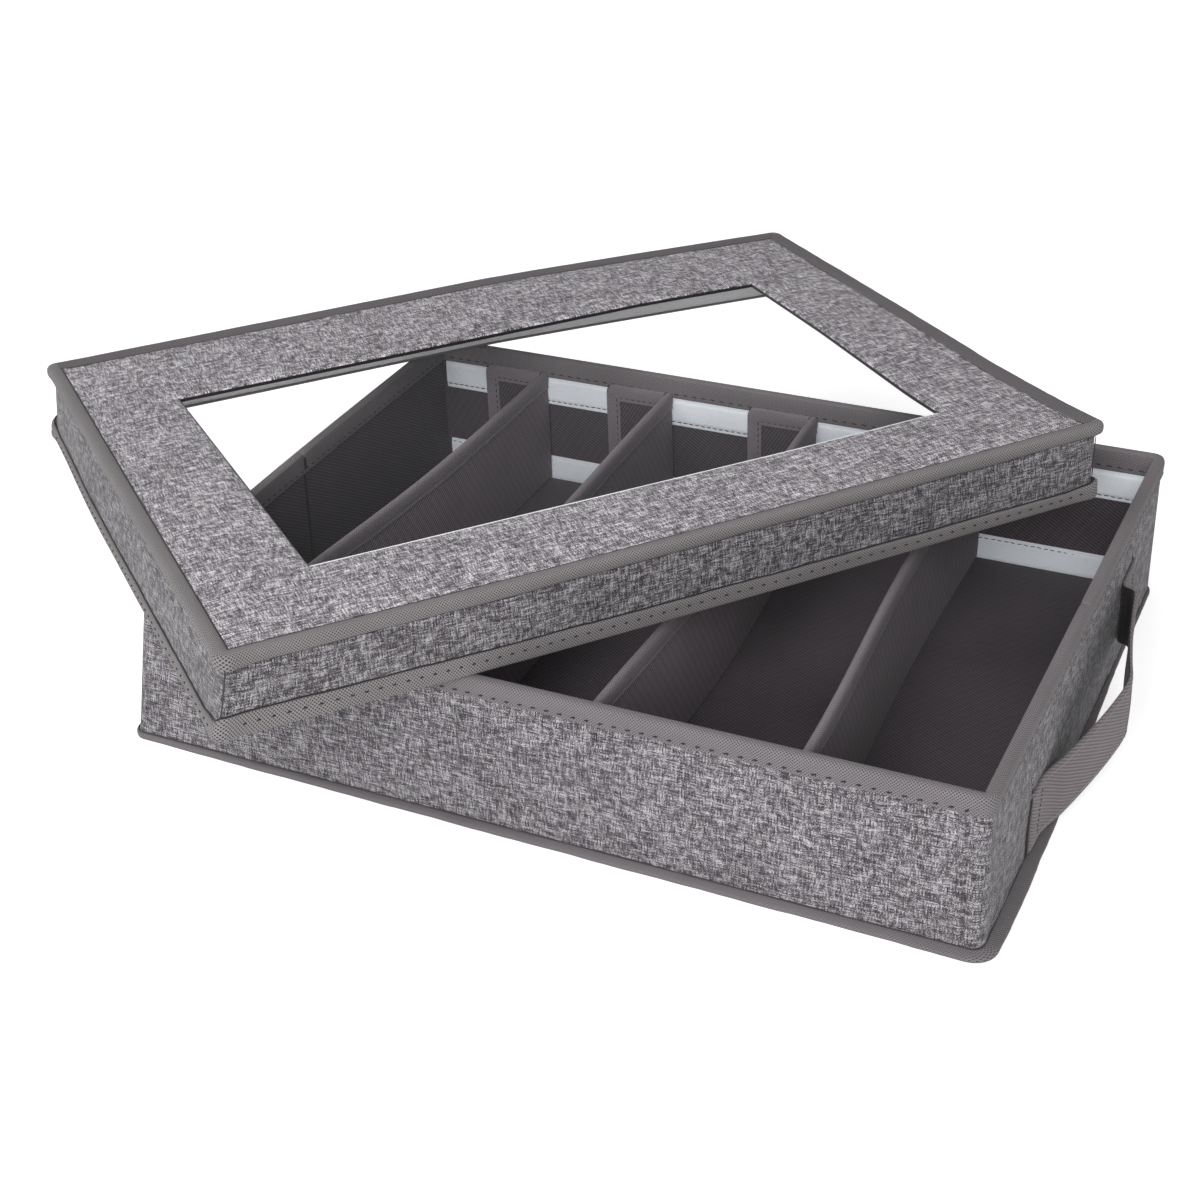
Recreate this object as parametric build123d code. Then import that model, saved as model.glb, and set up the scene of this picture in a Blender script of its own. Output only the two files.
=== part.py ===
from build123d import *
import os

# A fabric flatware case with movable dividers and a windowed lid, in millimetres.
# The origin is at the middle of the floor, +X runs along the long side to the right,
# +Y runs away from the viewer and +Z is up.

# Box, outside the fabric
box_length = 400.0
box_width = 300.0
box_height = 76.0
corner_radius = 5.0

# Wall layers, from outside to inside
cover_gauge = 0.8
wall_board_gauge = 2.4
lining_gauge = 0.6
board_corner_gap = 1.0      # from the round corner to the end of each wall board
fold_gap = 3.0              # between the two boards of a short wall, where it creases

# Floor
base_cover_gauge = 0.8
floor_board_gauge = 2.4
floor_pad_clearance = 0.4   # from the floor pad to the tapes and the lining

# Tape folded over the rim and round the floor seam
binding_gauge = 0.8
rim_outer_drop = 8.5
rim_inner_drop = 11.0
rim_round = 1.2
base_binding_reach = 5.5
base_binding_height = 2.6
base_binding_round = 1.0

# Pale loop tapes on the long walls
strip_width = 16.0
strip_gauge = 0.8
strip_end_gap = 2.0
strip_seam_gap = 0.3        # from the rim binding, or from the base cover, to a tape

# Dividers, from left to right. Each is given where its back end, its middle and its front end
# stand, as shares of the inside length, because the soft panels are gripped a little askew.
divider_shares = [
    (-0.336, -0.339, -0.364),
    (-0.148, -0.138, -0.133),
    (0.059, 0.084, 0.079),
    (0.285, 0.291, 0.311),
]
divider_rim_drop = 8.0      # from the top of the rim down to the tops of the dividers
divider_gauge = 2.6
divider_floor_gap = 0.3
divider_binding_gauge = 0.6
divider_binding_drop = 9.0
divider_binding_round = 1.4

# Flaps at the divider ends, and the hook patches behind them
flap_length = 34.0
flap_gauge = 1.2
flap_hinge_gap = 0.3
flap_edge_gauge = 0.5       # how far the sewn edge tape stands proud of the cloth
flap_top_tape = 9.0
flap_end_tape = 8.0
flap_corner_radius = 5.0
hook_gauge = 0.7
hook_length = 20.0
hook_height = 14.0
hook_end_gap = 2.0
hook_to_strip_gap = 0.3

# Webbing handles on the short walls
strap_width = 30.0
strap_gauge = 1.6
strap_centre_height = 29.0
strap_anchor_reach = 88.0   # half the distance between the outer ends of the sewn parts
strap_anchor_length = 16.0
strap_hinge_reach = 58.0    # half the distance between the ends of the free loop
strap_hinge_stand_off = 5.4
strap_bulge = 22.0          # from the wall to the middle of the free loop
strap_hinge_gap = 0.3

# Lid, and its resting place askew on the rim
lid_side_clearance = 2.0    # from the rim binding to the long skirt boards
lid_end_clearance = 5.0     # and to the short ones
lid_height = 38.0
lid_turn = 49.0
lid_share_x = -0.175        # the lid's middle, as a share of the box's length
lid_share_y = 0.1           # and of its width
lid_rest_gap = 0.3
lid_corner_radius = 4.0
skirt_board_gauge = 1.8
lid_board_gauge = 1.6
lid_cover_gauge = 0.6
lid_tape_gauge = 0.8
piping_drop = 5.5
piping_top_reach = 5.0
piping_round = 1.1
hem_outer_rise = 9.5
hem_inner_rise = 1.5
window_side_margin = 54.2   # from the lid's outer edge to the window
window_front_margin = 54.0
window_back_margin = 70.0
window_gauge = 0.4
window_lap = 8.0

# Helpers of the modelling
cut_past = 1.0              # how far a cutting block reaches past the piece it cuts
mitre_reach = 20.0          # how far the mitre wedges reach past a ring of tape
least_radius = 0.2          # of an inner corner that would otherwise be sharp

# Sizes that follow
wall_gauge = cover_gauge + wall_board_gauge + lining_gauge
inside_length = box_length - 2 * wall_gauge
inside_width = box_width - 2 * wall_gauge
wall_top = box_height - binding_gauge
floor_board_top = base_cover_gauge + floor_board_gauge
floor_top = floor_board_top + lining_gauge
board_end = corner_radius + board_corner_gap
upper_strip_top = box_height - rim_inner_drop - strip_seam_gap
lower_strip_bottom = base_cover_gauge + strip_seam_gap
strip_face = inside_width / 2 - strip_gauge
flap_back_face = strip_face - hook_to_strip_gap - hook_gauge
flap_front_face = flap_back_face - flap_gauge
divider_bottom = floor_top + divider_floor_gap
divider_top = box_height - divider_rim_drop
lid_inside_length = box_length + 2 * (binding_gauge + lid_end_clearance)
lid_inside_width = box_width + 2 * (binding_gauge + lid_side_clearance)
lid_board_length = lid_inside_length + 2 * skirt_board_gauge
lid_board_width = lid_inside_width + 2 * skirt_board_gauge
lid_fabric_length = lid_board_length + 2 * lid_cover_gauge
lid_fabric_width = lid_board_width + 2 * lid_cover_gauge
lid_outer_length = lid_fabric_length + 2 * lid_tape_gauge
lid_outer_width = lid_fabric_width + 2 * lid_tape_gauge
lid_cover_top = lid_height - lid_tape_gauge
lid_board_top = lid_cover_top - lid_cover_gauge
lid_board_bottom = lid_board_top - lid_board_gauge
window_length = lid_outer_length - 2 * window_side_margin
window_width = lid_outer_width - window_front_margin - window_back_margin
window_middle = (window_front_margin - window_back_margin) / 2
lid_centre = (lid_share_x * box_length, lid_share_y * box_width)
lid_place = Pos(*lid_centre, box_height + lid_rest_gap) * Rot(0, 0, lid_turn)


def slab(length, width, bottom, top, x=0.0, y=0.0):
    """An upright block with square corners."""
    return Pos(x, y, (bottom + top) / 2) * Box(length, width, top - bottom)


def rounded_slab(length, width, bottom, top, radius):
    """An upright block with round vertical corners, centred on the Z axis."""
    return Pos(0, 0, bottom) * extrude(RectangleRounded(length, width, radius), top - bottom)


def band(length, width, gauge, bottom, top, radius):
    """A closed band whose outside is length by width, and gauge thick inwards."""
    outer = rounded_slab(length, width, bottom, top, radius)
    inner = rounded_slab(
        length - 2 * gauge, width - 2 * gauge, bottom - cut_past, top + cut_past,
        max(radius - gauge, least_radius),
    )
    return outer - inner


def four_runs(ring, length, width):
    """Cuts a ring into its four mitred runs: front, back, left and right."""
    a = length / 2 + mitre_reach
    b = width / 2 + mitre_reach
    flats = {
        "front": [(-a, -b), (a, -b), (a - b, 0), (b - a, 0)],
        "back": [(-a, b), (a, b), (a - b, 0), (b - a, 0)],
        "left": [(-a, -b), (-a, b), (b - a, 0)],
        "right": [(a, -b), (a, b), (a - b, 0)],
    }
    runs = {}
    for side, corners in flats.items():
        wedge = extrude(make_face(Polyline(*corners, close=True)), box_height, both=True)
        runs[side] = ring & wedge
    return runs


def edges_at(shape, height):
    """The edges that lie flat at one height."""
    return list(shape.edges().filter_by_position(Axis.Z, height, height))


def base_cover():
    return rounded_slab(box_length, box_width, 0, base_cover_gauge, corner_radius)


def floor_pad():
    """The stiff floor board and the lining over it, clear of the lower tapes."""
    inset = strip_gauge + floor_pad_clearance
    length = inside_length - 2 * inset
    width = inside_width - 2 * inset
    board = slab(length, width, base_cover_gauge, floor_board_top)
    sheet = slab(length, width, floor_board_top, floor_top)
    return board, sheet


def wall_boards():
    """Boards in the walls, with a fold gap at the middle of each short wall."""
    inset = cover_gauge + wall_board_gauge / 2
    x = box_length / 2 - inset
    y = box_width / 2 - inset
    long_board = box_length - 2 * board_end
    half_board = (box_width - 2 * board_end - fold_gap) / 2
    half_place = (half_board + fold_gap) / 2
    bottom = base_cover_gauge
    boards = {}
    for name, sign in (("front", -1), ("back", 1)):
        boards[f"{name}_wall_board"] = slab(long_board, wall_board_gauge, bottom, wall_top, 0, sign * y)
    for name, sign in (("left", -1), ("right", 1)):
        for half, way in (("front", -1), ("back", 1)):
            board = slab(wall_board_gauge, half_board, bottom, wall_top, sign * x, way * half_place)
            boards[f"{name}_wall_board_{half}"] = board
    return boards


def outer_cover():
    return band(box_length, box_width, cover_gauge, base_cover_gauge, wall_top, corner_radius)


def wall_lining():
    length = inside_length + 2 * lining_gauge
    width = inside_width + 2 * lining_gauge
    radius = max(corner_radius - cover_gauge - wall_board_gauge, least_radius)
    return band(length, width, lining_gauge, base_cover_gauge, wall_top, radius)


def rim_binding():
    """Tape folded over the top of the walls."""
    length = box_length + 2 * binding_gauge
    width = box_width + 2 * binding_gauge
    radius = corner_radius + binding_gauge
    thickness = wall_gauge + 2 * binding_gauge
    lowest = box_height - max(rim_outer_drop, rim_inner_drop)
    ring = band(length, width, thickness, lowest, box_height, radius)
    ring = fillet(edges_at(ring, box_height), rim_round)
    channel = band(box_length, box_width, wall_gauge, 0, wall_top, corner_radius)
    below_inner_leg = rounded_slab(
        box_length - wall_gauge, box_width - wall_gauge, 0, box_height - rim_inner_drop, least_radius
    )
    below_outer_leg = band(
        length + 2 * cut_past, width + 2 * cut_past, cut_past + binding_gauge + wall_gauge / 2,
        0, box_height - rim_outer_drop, radius + cut_past,
    )
    return four_runs(ring - channel - below_inner_leg - below_outer_leg, length, width)


def base_binding():
    """Tape round the floor seam, standing out from the walls."""
    length = box_length + 2 * base_binding_reach
    width = box_width + 2 * base_binding_reach
    radius = corner_radius + base_binding_reach
    ring = rounded_slab(length, width, 0, base_binding_height, radius)
    ring = fillet(edges_at(ring, base_binding_height), base_binding_round)
    ring -= rounded_slab(box_length, box_width, 0, base_binding_height, corner_radius)
    return four_runs(ring, length, width)


def wall_strips(sign):
    """The upper and lower loop tapes on the inside of one long wall."""
    length = inside_length - 2 * strip_end_gap
    y = sign * (inside_width / 2 - strip_gauge / 2)
    upper = slab(length, strip_gauge, upper_strip_top - strip_width, upper_strip_top, 0, y)
    lower = slab(length, strip_gauge, lower_strip_bottom, lower_strip_bottom + strip_width, 0, y)
    return Compound([upper, lower])


def divider_line(places):
    """The plan of a divider's middle line, square to the long walls at both ends."""
    back, middle, front = places
    return Spline(
        (back, flap_back_face), (middle, 0), (front, -flap_back_face),
        tangents=[(0, -1), (0, -1)],
    )


def divider_slab(places, thickness, bottom, top):
    """An upright sheet that follows a divider's line."""
    face = trace(divider_line(places), thickness)
    return Pos(0, 0, bottom) * extrude(face, top - bottom)


def divider_panel(places):
    return divider_slab(places, divider_gauge, divider_bottom, divider_top - divider_binding_gauge)


def divider_binding(places):
    """Tape folded over the top of a panel, with a rounded top."""
    thickness = divider_gauge + 2 * divider_binding_gauge
    tape = divider_slab(places, thickness, divider_top - divider_binding_drop, divider_top)
    long_edges = [e for e in edges_at(tape, divider_top) if e.length > 2 * thickness]
    tape = fillet(long_edges, divider_binding_round)
    return tape - divider_panel(places)


def flap_right_end(x):
    """Where the flap begins, just left of the panel and its binding."""
    return x - divider_gauge / 2 - divider_binding_gauge - flap_hinge_gap


def flap(x, sign):
    """A soft end folded to the left, with tape sewn along its top and its free edge."""
    right = flap_right_end(x)
    left = right - flap_length
    height = divider_top - divider_bottom
    outline = Pos((left + right) / 2, (divider_bottom + divider_top) / 2) * Rectangle(flap_length, height)
    corner = outline.vertices().sort_by_distance((left, divider_top))[0]
    outline = fillet(corner, flap_corner_radius)
    inner_length = flap_length - flap_end_tape
    inner_height = height - flap_top_tape
    bare = Pos(right - inner_length / 2, divider_bottom + inner_height / 2) * Rectangle(
        inner_length, inner_height
    )
    taped = extrude(outline, flap_gauge + flap_edge_gauge)
    taped -= extrude(bare, flap_edge_gauge + cut_past).moved(Pos(0, 0, flap_gauge))
    wall_side = Plane(origin=(0, flap_back_face, 0), x_dir=(1, 0, 0), z_dir=(0, -1, 0))
    back_flap = wall_side * taped
    return back_flap if sign > 0 else mirror(back_flap, Plane.XZ)


def flap_hooks(x, sign):
    """Two hook patches on the wall side of a flap, opposite the loop tapes."""
    place = flap_right_end(x) - hook_end_gap - hook_length / 2
    y = sign * (flap_back_face + hook_gauge / 2)
    inset = (strip_width - hook_height) / 2
    upper_top = upper_strip_top - inset
    lower_bottom = max(lower_strip_bottom + inset, divider_bottom)
    upper = slab(hook_length, hook_gauge, upper_top - hook_height, upper_top, place, y)
    lower_top = lower_strip_bottom + inset + hook_height
    lower = slab(hook_length, hook_gauge, lower_bottom, lower_top, place, y)
    return Compound([upper, lower])


def strap_path(sign):
    """The plan of the strap's middle line, from one sewn end to the other."""
    wall = box_length / 2 + strap_gauge / 2
    sewn = strap_anchor_reach - strap_anchor_length
    hinge = strap_hinge_reach
    stand = wall + strap_hinge_stand_off
    far = box_length / 2 + strap_bulge - strap_gauge / 2
    lift = Spline(
        (wall, -sewn), (stand, -hinge), (far, 0), (stand, hinge), (wall, sewn),
        tangents=[(0, 1), (0, 1)],
    )
    first = Line((wall, -strap_anchor_reach), (wall, -sewn))
    last = Line((wall, sewn), (wall, strap_anchor_reach))
    line = Curve() + [first, lift, last]
    return mirror(line, Plane.YZ) if sign < 0 else line


def strap(sign):
    """The whole webbing strap, before it is parted into its ends and its loop."""
    path = strap_path(sign)
    band_face = trace(path, strap_gauge)
    low = strap_centre_height - strap_width / 2
    return Pos(0, 0, low) * extrude(band_face, strap_width)


def handle(sign):
    """The sewn ends, which stay on the wall, and the free loop between them."""
    whole = strap(sign)
    room = 2 * (strap_bulge + strap_gauge)
    x = sign * (box_length / 2 + room / 2 - strap_gauge)
    reach = 2 * (strap_hinge_reach - strap_hinge_gap)
    loop = whole & slab(room, reach, 0, box_height, x)
    ends = whole - slab(room, 2 * strap_hinge_reach, 0, box_height, x)
    return ends, loop


def window_hole():
    return slab(
        window_length, window_width, lid_board_bottom - cut_past, lid_height + cut_past, 0, window_middle
    )


def lid_top_board():
    radius = lid_corner_radius - lid_cover_gauge
    board = rounded_slab(lid_board_length, lid_board_width, lid_board_bottom, lid_board_top, radius)
    return board - window_hole()


def lid_top_cover():
    cover = rounded_slab(
        lid_fabric_length, lid_fabric_width, lid_board_top, lid_cover_top, lid_corner_radius
    )
    return cover - window_hole()


def lid_window():
    length = window_length + 2 * window_lap
    width = window_width + 2 * window_lap
    return slab(length, width, lid_board_bottom - window_gauge, lid_board_bottom, 0, window_middle)


def skirt_boards():
    """Four boards that stand under the rim of the lid's top board."""
    x = lid_inside_length / 2 + skirt_board_gauge / 2
    y = lid_inside_width / 2 + skirt_board_gauge / 2
    long_board = lid_fabric_length - 2 * (lid_corner_radius + board_corner_gap)
    short_board = lid_fabric_width - 2 * (lid_corner_radius + board_corner_gap)
    bottom = lid_tape_gauge
    top = lid_board_bottom
    boards = {}
    for name, sign in (("front", -1), ("back", 1)):
        board = slab(long_board, skirt_board_gauge, bottom, top, 0, sign * y)
        boards[f"lid_skirt_board_{name}"] = board
    for name, sign in (("left", -1), ("right", 1)):
        board = slab(skirt_board_gauge, short_board, bottom, top, sign * x, 0)
        boards[f"lid_skirt_board_{name}"] = board
    return boards


def lid_skirt_cover():
    return band(
        lid_fabric_length, lid_fabric_width, lid_cover_gauge,
        lid_tape_gauge, lid_board_top, lid_corner_radius,
    )


def lid_piping():
    """The rolled tape over the lid's top edge."""
    radius = lid_corner_radius + lid_tape_gauge
    outer = rounded_slab(lid_outer_length, lid_outer_width, lid_height - piping_drop, lid_height, radius)
    outer = fillet(edges_at(outer, lid_height), piping_round)
    top_hole = slab(
        lid_outer_length - 2 * piping_top_reach, lid_outer_width - 2 * piping_top_reach,
        0, lid_height + cut_past,
    )
    body = rounded_slab(lid_fabric_length, lid_fabric_width, 0, lid_cover_top, lid_corner_radius)
    return outer - top_hole - body


def lid_hem():
    """The tape folded round the skirt's lower edge."""
    radius = lid_corner_radius + lid_tape_gauge
    thickness = lid_cover_gauge + skirt_board_gauge + 2 * lid_tape_gauge
    ring = band(lid_outer_length, lid_outer_width, thickness, 0, hem_outer_rise, radius)
    walls = rounded_slab(
        lid_fabric_length, lid_fabric_width, lid_tape_gauge, lid_height, lid_corner_radius
    )
    walls -= slab(lid_inside_length, lid_inside_width, 0, lid_height + cut_past)
    above_inner_leg = slab(
        lid_board_length - skirt_board_gauge, lid_board_width - skirt_board_gauge,
        hem_inner_rise, lid_height,
    )
    return ring - walls - above_inner_leg


def all_pieces():
    board, sheet = floor_pad()
    pieces = {
        "base_cover": base_cover(),
        "floor_board": board,
        "floor_lining": sheet,
        "outer_cover": outer_cover(),
        "wall_lining": wall_lining(),
        "back_wall_strips": wall_strips(1),
        "front_wall_strips": wall_strips(-1),
    }
    pieces.update(wall_boards())
    for side, run in rim_binding().items():
        pieces[f"rim_binding_{side}"] = run
    for side, run in base_binding().items():
        pieces[f"base_binding_{side}"] = run
    for name, sign in (("left", -1), ("right", 1)):
        ends, loop = handle(sign)
        pieces[f"{name}_handle_ends"] = ends
        pieces[f"{name}_handle_strap"] = loop
    for number, shares in enumerate(divider_shares, start=1):
        name = f"divider_{number}"
        places = [share * inside_length for share in shares]
        pieces[f"{name}_panel"] = divider_panel(places)
        pieces[f"{name}_top_binding"] = divider_binding(places)
        for end, x, sign in (("front", places[2], -1), ("back", places[0], 1)):
            pieces[f"{name}_{end}_flap"] = flap(x, sign)
            pieces[f"{name}_{end}_hooks"] = flap_hooks(x, sign)
    lid = {
        "lid_top_board": lid_top_board(),
        "lid_top_cover": lid_top_cover(),
        "lid_window": lid_window(),
        "lid_skirt_cover": lid_skirt_cover(),
        "lid_piping": lid_piping(),
        "lid_hem": lid_hem(),
    }
    lid.update(skirt_boards())
    for name, shape in lid.items():
        pieces[name] = lid_place * shape
    return pieces


os.makedirs("parts", exist_ok=True)
for name, shape in all_pieces().items():
    export_step(shape, f"parts/{name}.step")
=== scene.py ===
import math

import bmesh
import bpy
import numpy as np
from mathutils import Matrix, Vector


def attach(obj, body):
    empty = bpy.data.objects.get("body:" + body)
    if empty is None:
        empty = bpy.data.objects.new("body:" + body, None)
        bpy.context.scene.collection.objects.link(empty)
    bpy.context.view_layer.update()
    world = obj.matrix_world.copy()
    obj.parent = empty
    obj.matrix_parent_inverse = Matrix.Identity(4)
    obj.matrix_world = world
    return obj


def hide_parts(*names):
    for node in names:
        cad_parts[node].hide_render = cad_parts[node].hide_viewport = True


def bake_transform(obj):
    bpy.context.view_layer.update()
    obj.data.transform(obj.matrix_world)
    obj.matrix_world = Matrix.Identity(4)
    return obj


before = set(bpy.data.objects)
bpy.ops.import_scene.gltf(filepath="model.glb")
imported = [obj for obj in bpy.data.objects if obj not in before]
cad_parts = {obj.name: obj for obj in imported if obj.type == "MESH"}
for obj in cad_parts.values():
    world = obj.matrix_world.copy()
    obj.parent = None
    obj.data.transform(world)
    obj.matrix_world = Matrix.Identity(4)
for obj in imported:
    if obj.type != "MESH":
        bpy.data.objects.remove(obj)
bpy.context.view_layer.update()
print("frame loaded,", len(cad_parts), "nodes")

mm = 0.001


# shader maths
class Value:
    # a socket, so that shader maths reads as plain expressions
    def __init__(self, shader, socket):
        self.shader = shader
        self.socket = socket

    def math(self, operation, *values):
        return self.shader.node("ShaderNodeMath", {"operation": operation}, values)

    def __add__(self, other):
        return self.math("ADD", self, other)

    def __radd__(self, other):
        return self.math("ADD", other, self)

    def __sub__(self, other):
        return self.math("SUBTRACT", self, other)

    def __rsub__(self, other):
        return self.math("SUBTRACT", other, self)

    def __mul__(self, other):
        return self.math("MULTIPLY", self, other)

    def __rmul__(self, other):
        return self.math("MULTIPLY", other, self)

    def __truediv__(self, other):
        return self.math("DIVIDE", self, other)

    def cos(self):
        return self.math("COSINE", self)

    def sin(self):
        return self.math("SINE", self)

    def floor(self):
        return self.math("FLOOR", self)

    def most(self, other):
        return self.math("MAXIMUM", self, other)

    def step(self, low, high):
        # 0 below low, 1 above high, smooth between them
        return self.shader.node(
            "ShaderNodeMapRange", {"interpolation_type": "SMOOTHSTEP"}, {0: self, 1: low, 2: high}
        )


class Shader:
    # the node tree of a new material, or of another owner
    def __init__(self, name, owner=None):
        self.owner = owner or bpy.data.materials.new(name)
        self.owner.use_nodes = True
        self.tree = self.owner.node_tree
        self.tree.nodes.clear()
        self.cloth = None

    def node(self, kind, settings=None, values=(), output=0):
        made = self.tree.nodes.new(kind)
        for key, value in (settings or {}).items():
            if key == "stops":
                ramp = made.color_ramp
                for place, colour in value[len(ramp.elements):]:
                    ramp.elements.new(place)
                for element, (place, colour) in zip(ramp.elements, value):
                    element.position = place
                    element.color = (*colour, 1)
            else:
                setattr(made, key, value)
        pairs = values.items() if isinstance(values, dict) else enumerate(values)
        for key, value in pairs:
            if isinstance(value, Value):
                self.tree.links.new(value.socket, made.inputs[key])
            elif value is not None:
                made.inputs[key].default_value = value
        return Value(self, made.outputs[output]) if made.outputs else made

    def across(self):
        # u runs along the piece and v across it, both in millimetres
        if self.cloth is None:
            place = self.node("ShaderNodeUVMap", {"uv_map": "cloth"})
            self.cloth = self.node("ShaderNodeSeparateXYZ", values=[place])
        parts = self.cloth.socket.node
        return Value(self, parts.outputs[0]) * 1000, Value(self, parts.outputs[1]) * 1000

    def noise(self, x, y, seed=0.0, detail=2.0, roughness=0.5):
        point = self.node("ShaderNodeCombineXYZ", values=[x, y, seed])
        return self.node(
            "ShaderNodeTexNoise", {"noise_dimensions": "3D"},
            {"Vector": point, "Scale": 1.0, "Detail": detail, "Roughness": roughness},
        )

    def ramp(self, factor, stops):
        return self.node("ShaderNodeValToRGB", {"stops": stops}, [factor])

    def tint(self, colour, level):
        # a colour made darker or lighter by a value near 1
        grey = self.node("ShaderNodeCombineColor", values=[level, level, level])
        return self.node(
            "ShaderNodeMix", {"data_type": "RGBA", "blend_type": "MULTIPLY"},
            {0: 1.0, 6: (*colour, 1), 7: grey}, 2,
        )

    def finish(self, colour, roughness, height=None, depth=0.3, strength=0.6, sheen=0.0, alpha=None):
        # depth is the height of the bump in millimetres
        values = {"Base Color": colour, "Roughness": roughness, "Sheen Weight": sheen}
        if height is not None:
            values["Normal"] = self.node(
                "ShaderNodeBump", values={"Strength": strength, "Distance": depth * mm, "Height": height}
            )
        if alpha is not None:
            values["Alpha"] = alpha
        surface = self.node("ShaderNodeBsdfPrincipled", values=values)
        self.node("ShaderNodeOutputMaterial", values={"Surface": surface})
        return self.owner


# finishes
linenLook = {
    "threadPitch": 0.64, "slubLength": 5.5,
    # the tone at which each colour stands, from the darkest yarn to the palest
    "colours": [
        (0.1, (0.03, 0.026, 0.031)), (0.4, (0.14, 0.124, 0.142)),
        (0.59, (0.33, 0.31, 0.336)), (0.92, (0.85, 0.825, 0.86)),
    ],
}


def makeLinen(name, level, seed):
    # a plain weave of uneven yarns: each keeps its tone for a while, over one yarn and under the next
    shader = Shader(name)
    u, v = shader.across()
    length, pitch = linenLook["slubLength"], linenLook["threadPitch"]
    bend = shader.noise(u / 40, v / 40, seed + 3.0, 1.0)
    u, v = u + bend * 2.5, v + bend * 3.5
    row, column = (v / pitch).floor(), (u / pitch).floor()
    warp = shader.noise(u / length, row * 5.37, seed, 0.0)
    weft = shader.noise(v / (length * 0.75), column * 5.37, seed + 7.0, 0.0)
    above = ((row + column) * math.pi).cos() * 0.5 + 0.5
    yarn = weft + (warp - weft) * (above * 0.5 + 0.25)
    thick = shader.noise(u / 11, v / 0.95, seed + 23.0, 0.0)
    thick = thick + shader.noise(u / 0.95, v / 8, seed + 29.0, 0.0) * 0.8
    fleck = shader.noise(u / 0.45, v / 0.45, seed + 11.0, 0.0)
    broad = shader.noise(u / 32, v / 20, seed + 17.0, 2.0)
    tone = 0.5 + (yarn - 0.5) * 1.7 + (thick - 0.9) * 0.1 + (fleck - 0.5) * 1.2 + (broad - 0.5) * 0.2
    stops = [(at, tuple(min(1.0, c * level) for c in colour)) for at, colour in linenLook["colours"]]
    return shader.finish(shader.ramp(tone, stops), 0.88, tone, 0.35, 0.5, 0.12)


tapeLook = {"dotPitch": 1.45, "dotDepth": 0.3}


def makeTape(name, colour, darker, seed):
    # soft non-woven tape with a staggered grid of pressed dots, each darker to a share of the colour
    shader = Shader(name)
    u, v = shader.across()
    turn = 2 * math.pi / tapeLook["dotPitch"]
    dots = ((u * turn).cos() * (v * turn).cos()).step(-0.02, 0.62)
    fibre = shader.noise(u / 0.5, v / 0.9, seed, 3.0, 0.6)
    broad = shader.noise(u / 35, v / 9, seed + 5.0, 2.0)
    level = (0.72 + fibre * 0.35 + broad * 0.24) * (1 - dots * (1 - darker))
    tinted = shader.tint(colour, level)
    return shader.finish(tinted, 0.82, fibre * 0.25 - dots, tapeLook["dotDepth"], 0.8, 0.12)


def makeRibbed(name, colour, pitch, depth, seed):
    # non-woven pressed with fine slanting ribs, broken into dashes that are darker by depth
    shader = Shader(name)
    u, v = shader.across()
    turn = 2 * math.pi / pitch
    ribs = ((u * 0.53 + v * 0.85) * turn).cos()
    breaks = ((u * 0.85 - v * 0.53) * (turn * 0.4)).cos()
    dashes = (ribs + breaks * 0.25).step(-0.5, 0.7)
    fibre = shader.noise(u / 0.6, v / 0.6, seed, 3.0, 0.6)
    broad = shader.noise(u / 40, v / 40, seed + 5.0, 2.0)
    level = (0.75 + fibre * 0.35 + broad * 0.36) * (1 - dashes * depth)
    return shader.finish(shader.tint(colour, level), 0.86, fibre * 0.25 - dashes, 0.2, 0.6, 0.06)


def makeLoop(name, colour):
    # fuzzy loop tape
    shader = Shader(name)
    u, v = shader.across()
    fuzz = shader.noise(u / 0.35, v / 0.35, 2.0, 4.0, 0.7)
    clump = shader.noise(u / 2.6, v / 1.6, 5.0, 3.0, 0.6)
    worn = shader.noise(u / 22, v / 8, 9.0, 2.0)
    level = 0.8 + fuzz * 0.14 + clump * 0.16 + worn * 0.12
    return shader.finish(shader.tint(colour, level), 0.95, fuzz + clump * 0.8, 0.3, 0.5, 0.3)


webbingLook = {"colour": (0.21, 0.175, 0.19), "ribPitch": 1.5, "slant": 0.86, "across": 0.51}


def makeWebbing(name):
    shader = Shader(name)
    u, v = shader.across()
    turn = 2 * math.pi / webbingLook["ribPitch"]
    ribs = ((u * webbingLook["across"] + v * webbingLook["slant"]) * turn).sin()
    picks = (u * (2 * math.pi / 0.9)).sin() * 0.5 + 0.5
    fibre = shader.noise(u / 0.4, v / 0.4, 1.0, 3.0, 0.6)
    broad = shader.noise(u / 18, v / 10, 4.0, 2.0)
    level = 0.6 + ribs * 0.34 + picks * 0.05 + fibre * 0.25 + broad * 0.25
    tinted = shader.tint(webbingLook["colour"], level)
    return shader.finish(tinted, 0.72, ribs * 0.8 + picks * 0.3 + fibre * 0.2, 0.3, 0.7, 0.15)


def makeThread(name, colour):
    shader = Shader(name)
    u, v = shader.across()
    twist = ((u + v) * (2 * math.pi / 0.45)).sin()
    return shader.finish(shader.tint(colour, 0.9 + twist * 0.12), 0.7, twist, 0.08, 0.5, 0.1)


def makeBoard(name, colour):
    # raw chipboard, by object place because the board nodes carry no cloth map
    shader = Shader(name)
    place = shader.node("ShaderNodeTexCoord", output=3)
    fibre = shader.node(
        "ShaderNodeTexNoise", {}, {"Vector": place, "Scale": 900.0, "Detail": 3.0, "Roughness": 0.6}
    )
    broad = shader.node("ShaderNodeTexNoise", {}, {"Vector": place, "Scale": 60.0, "Detail": 2.0})
    return shader.finish(shader.tint(colour, 0.7 + fibre * 0.35 + broad * 0.3), 0.9, fibre, 0.15, 0.4)


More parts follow.
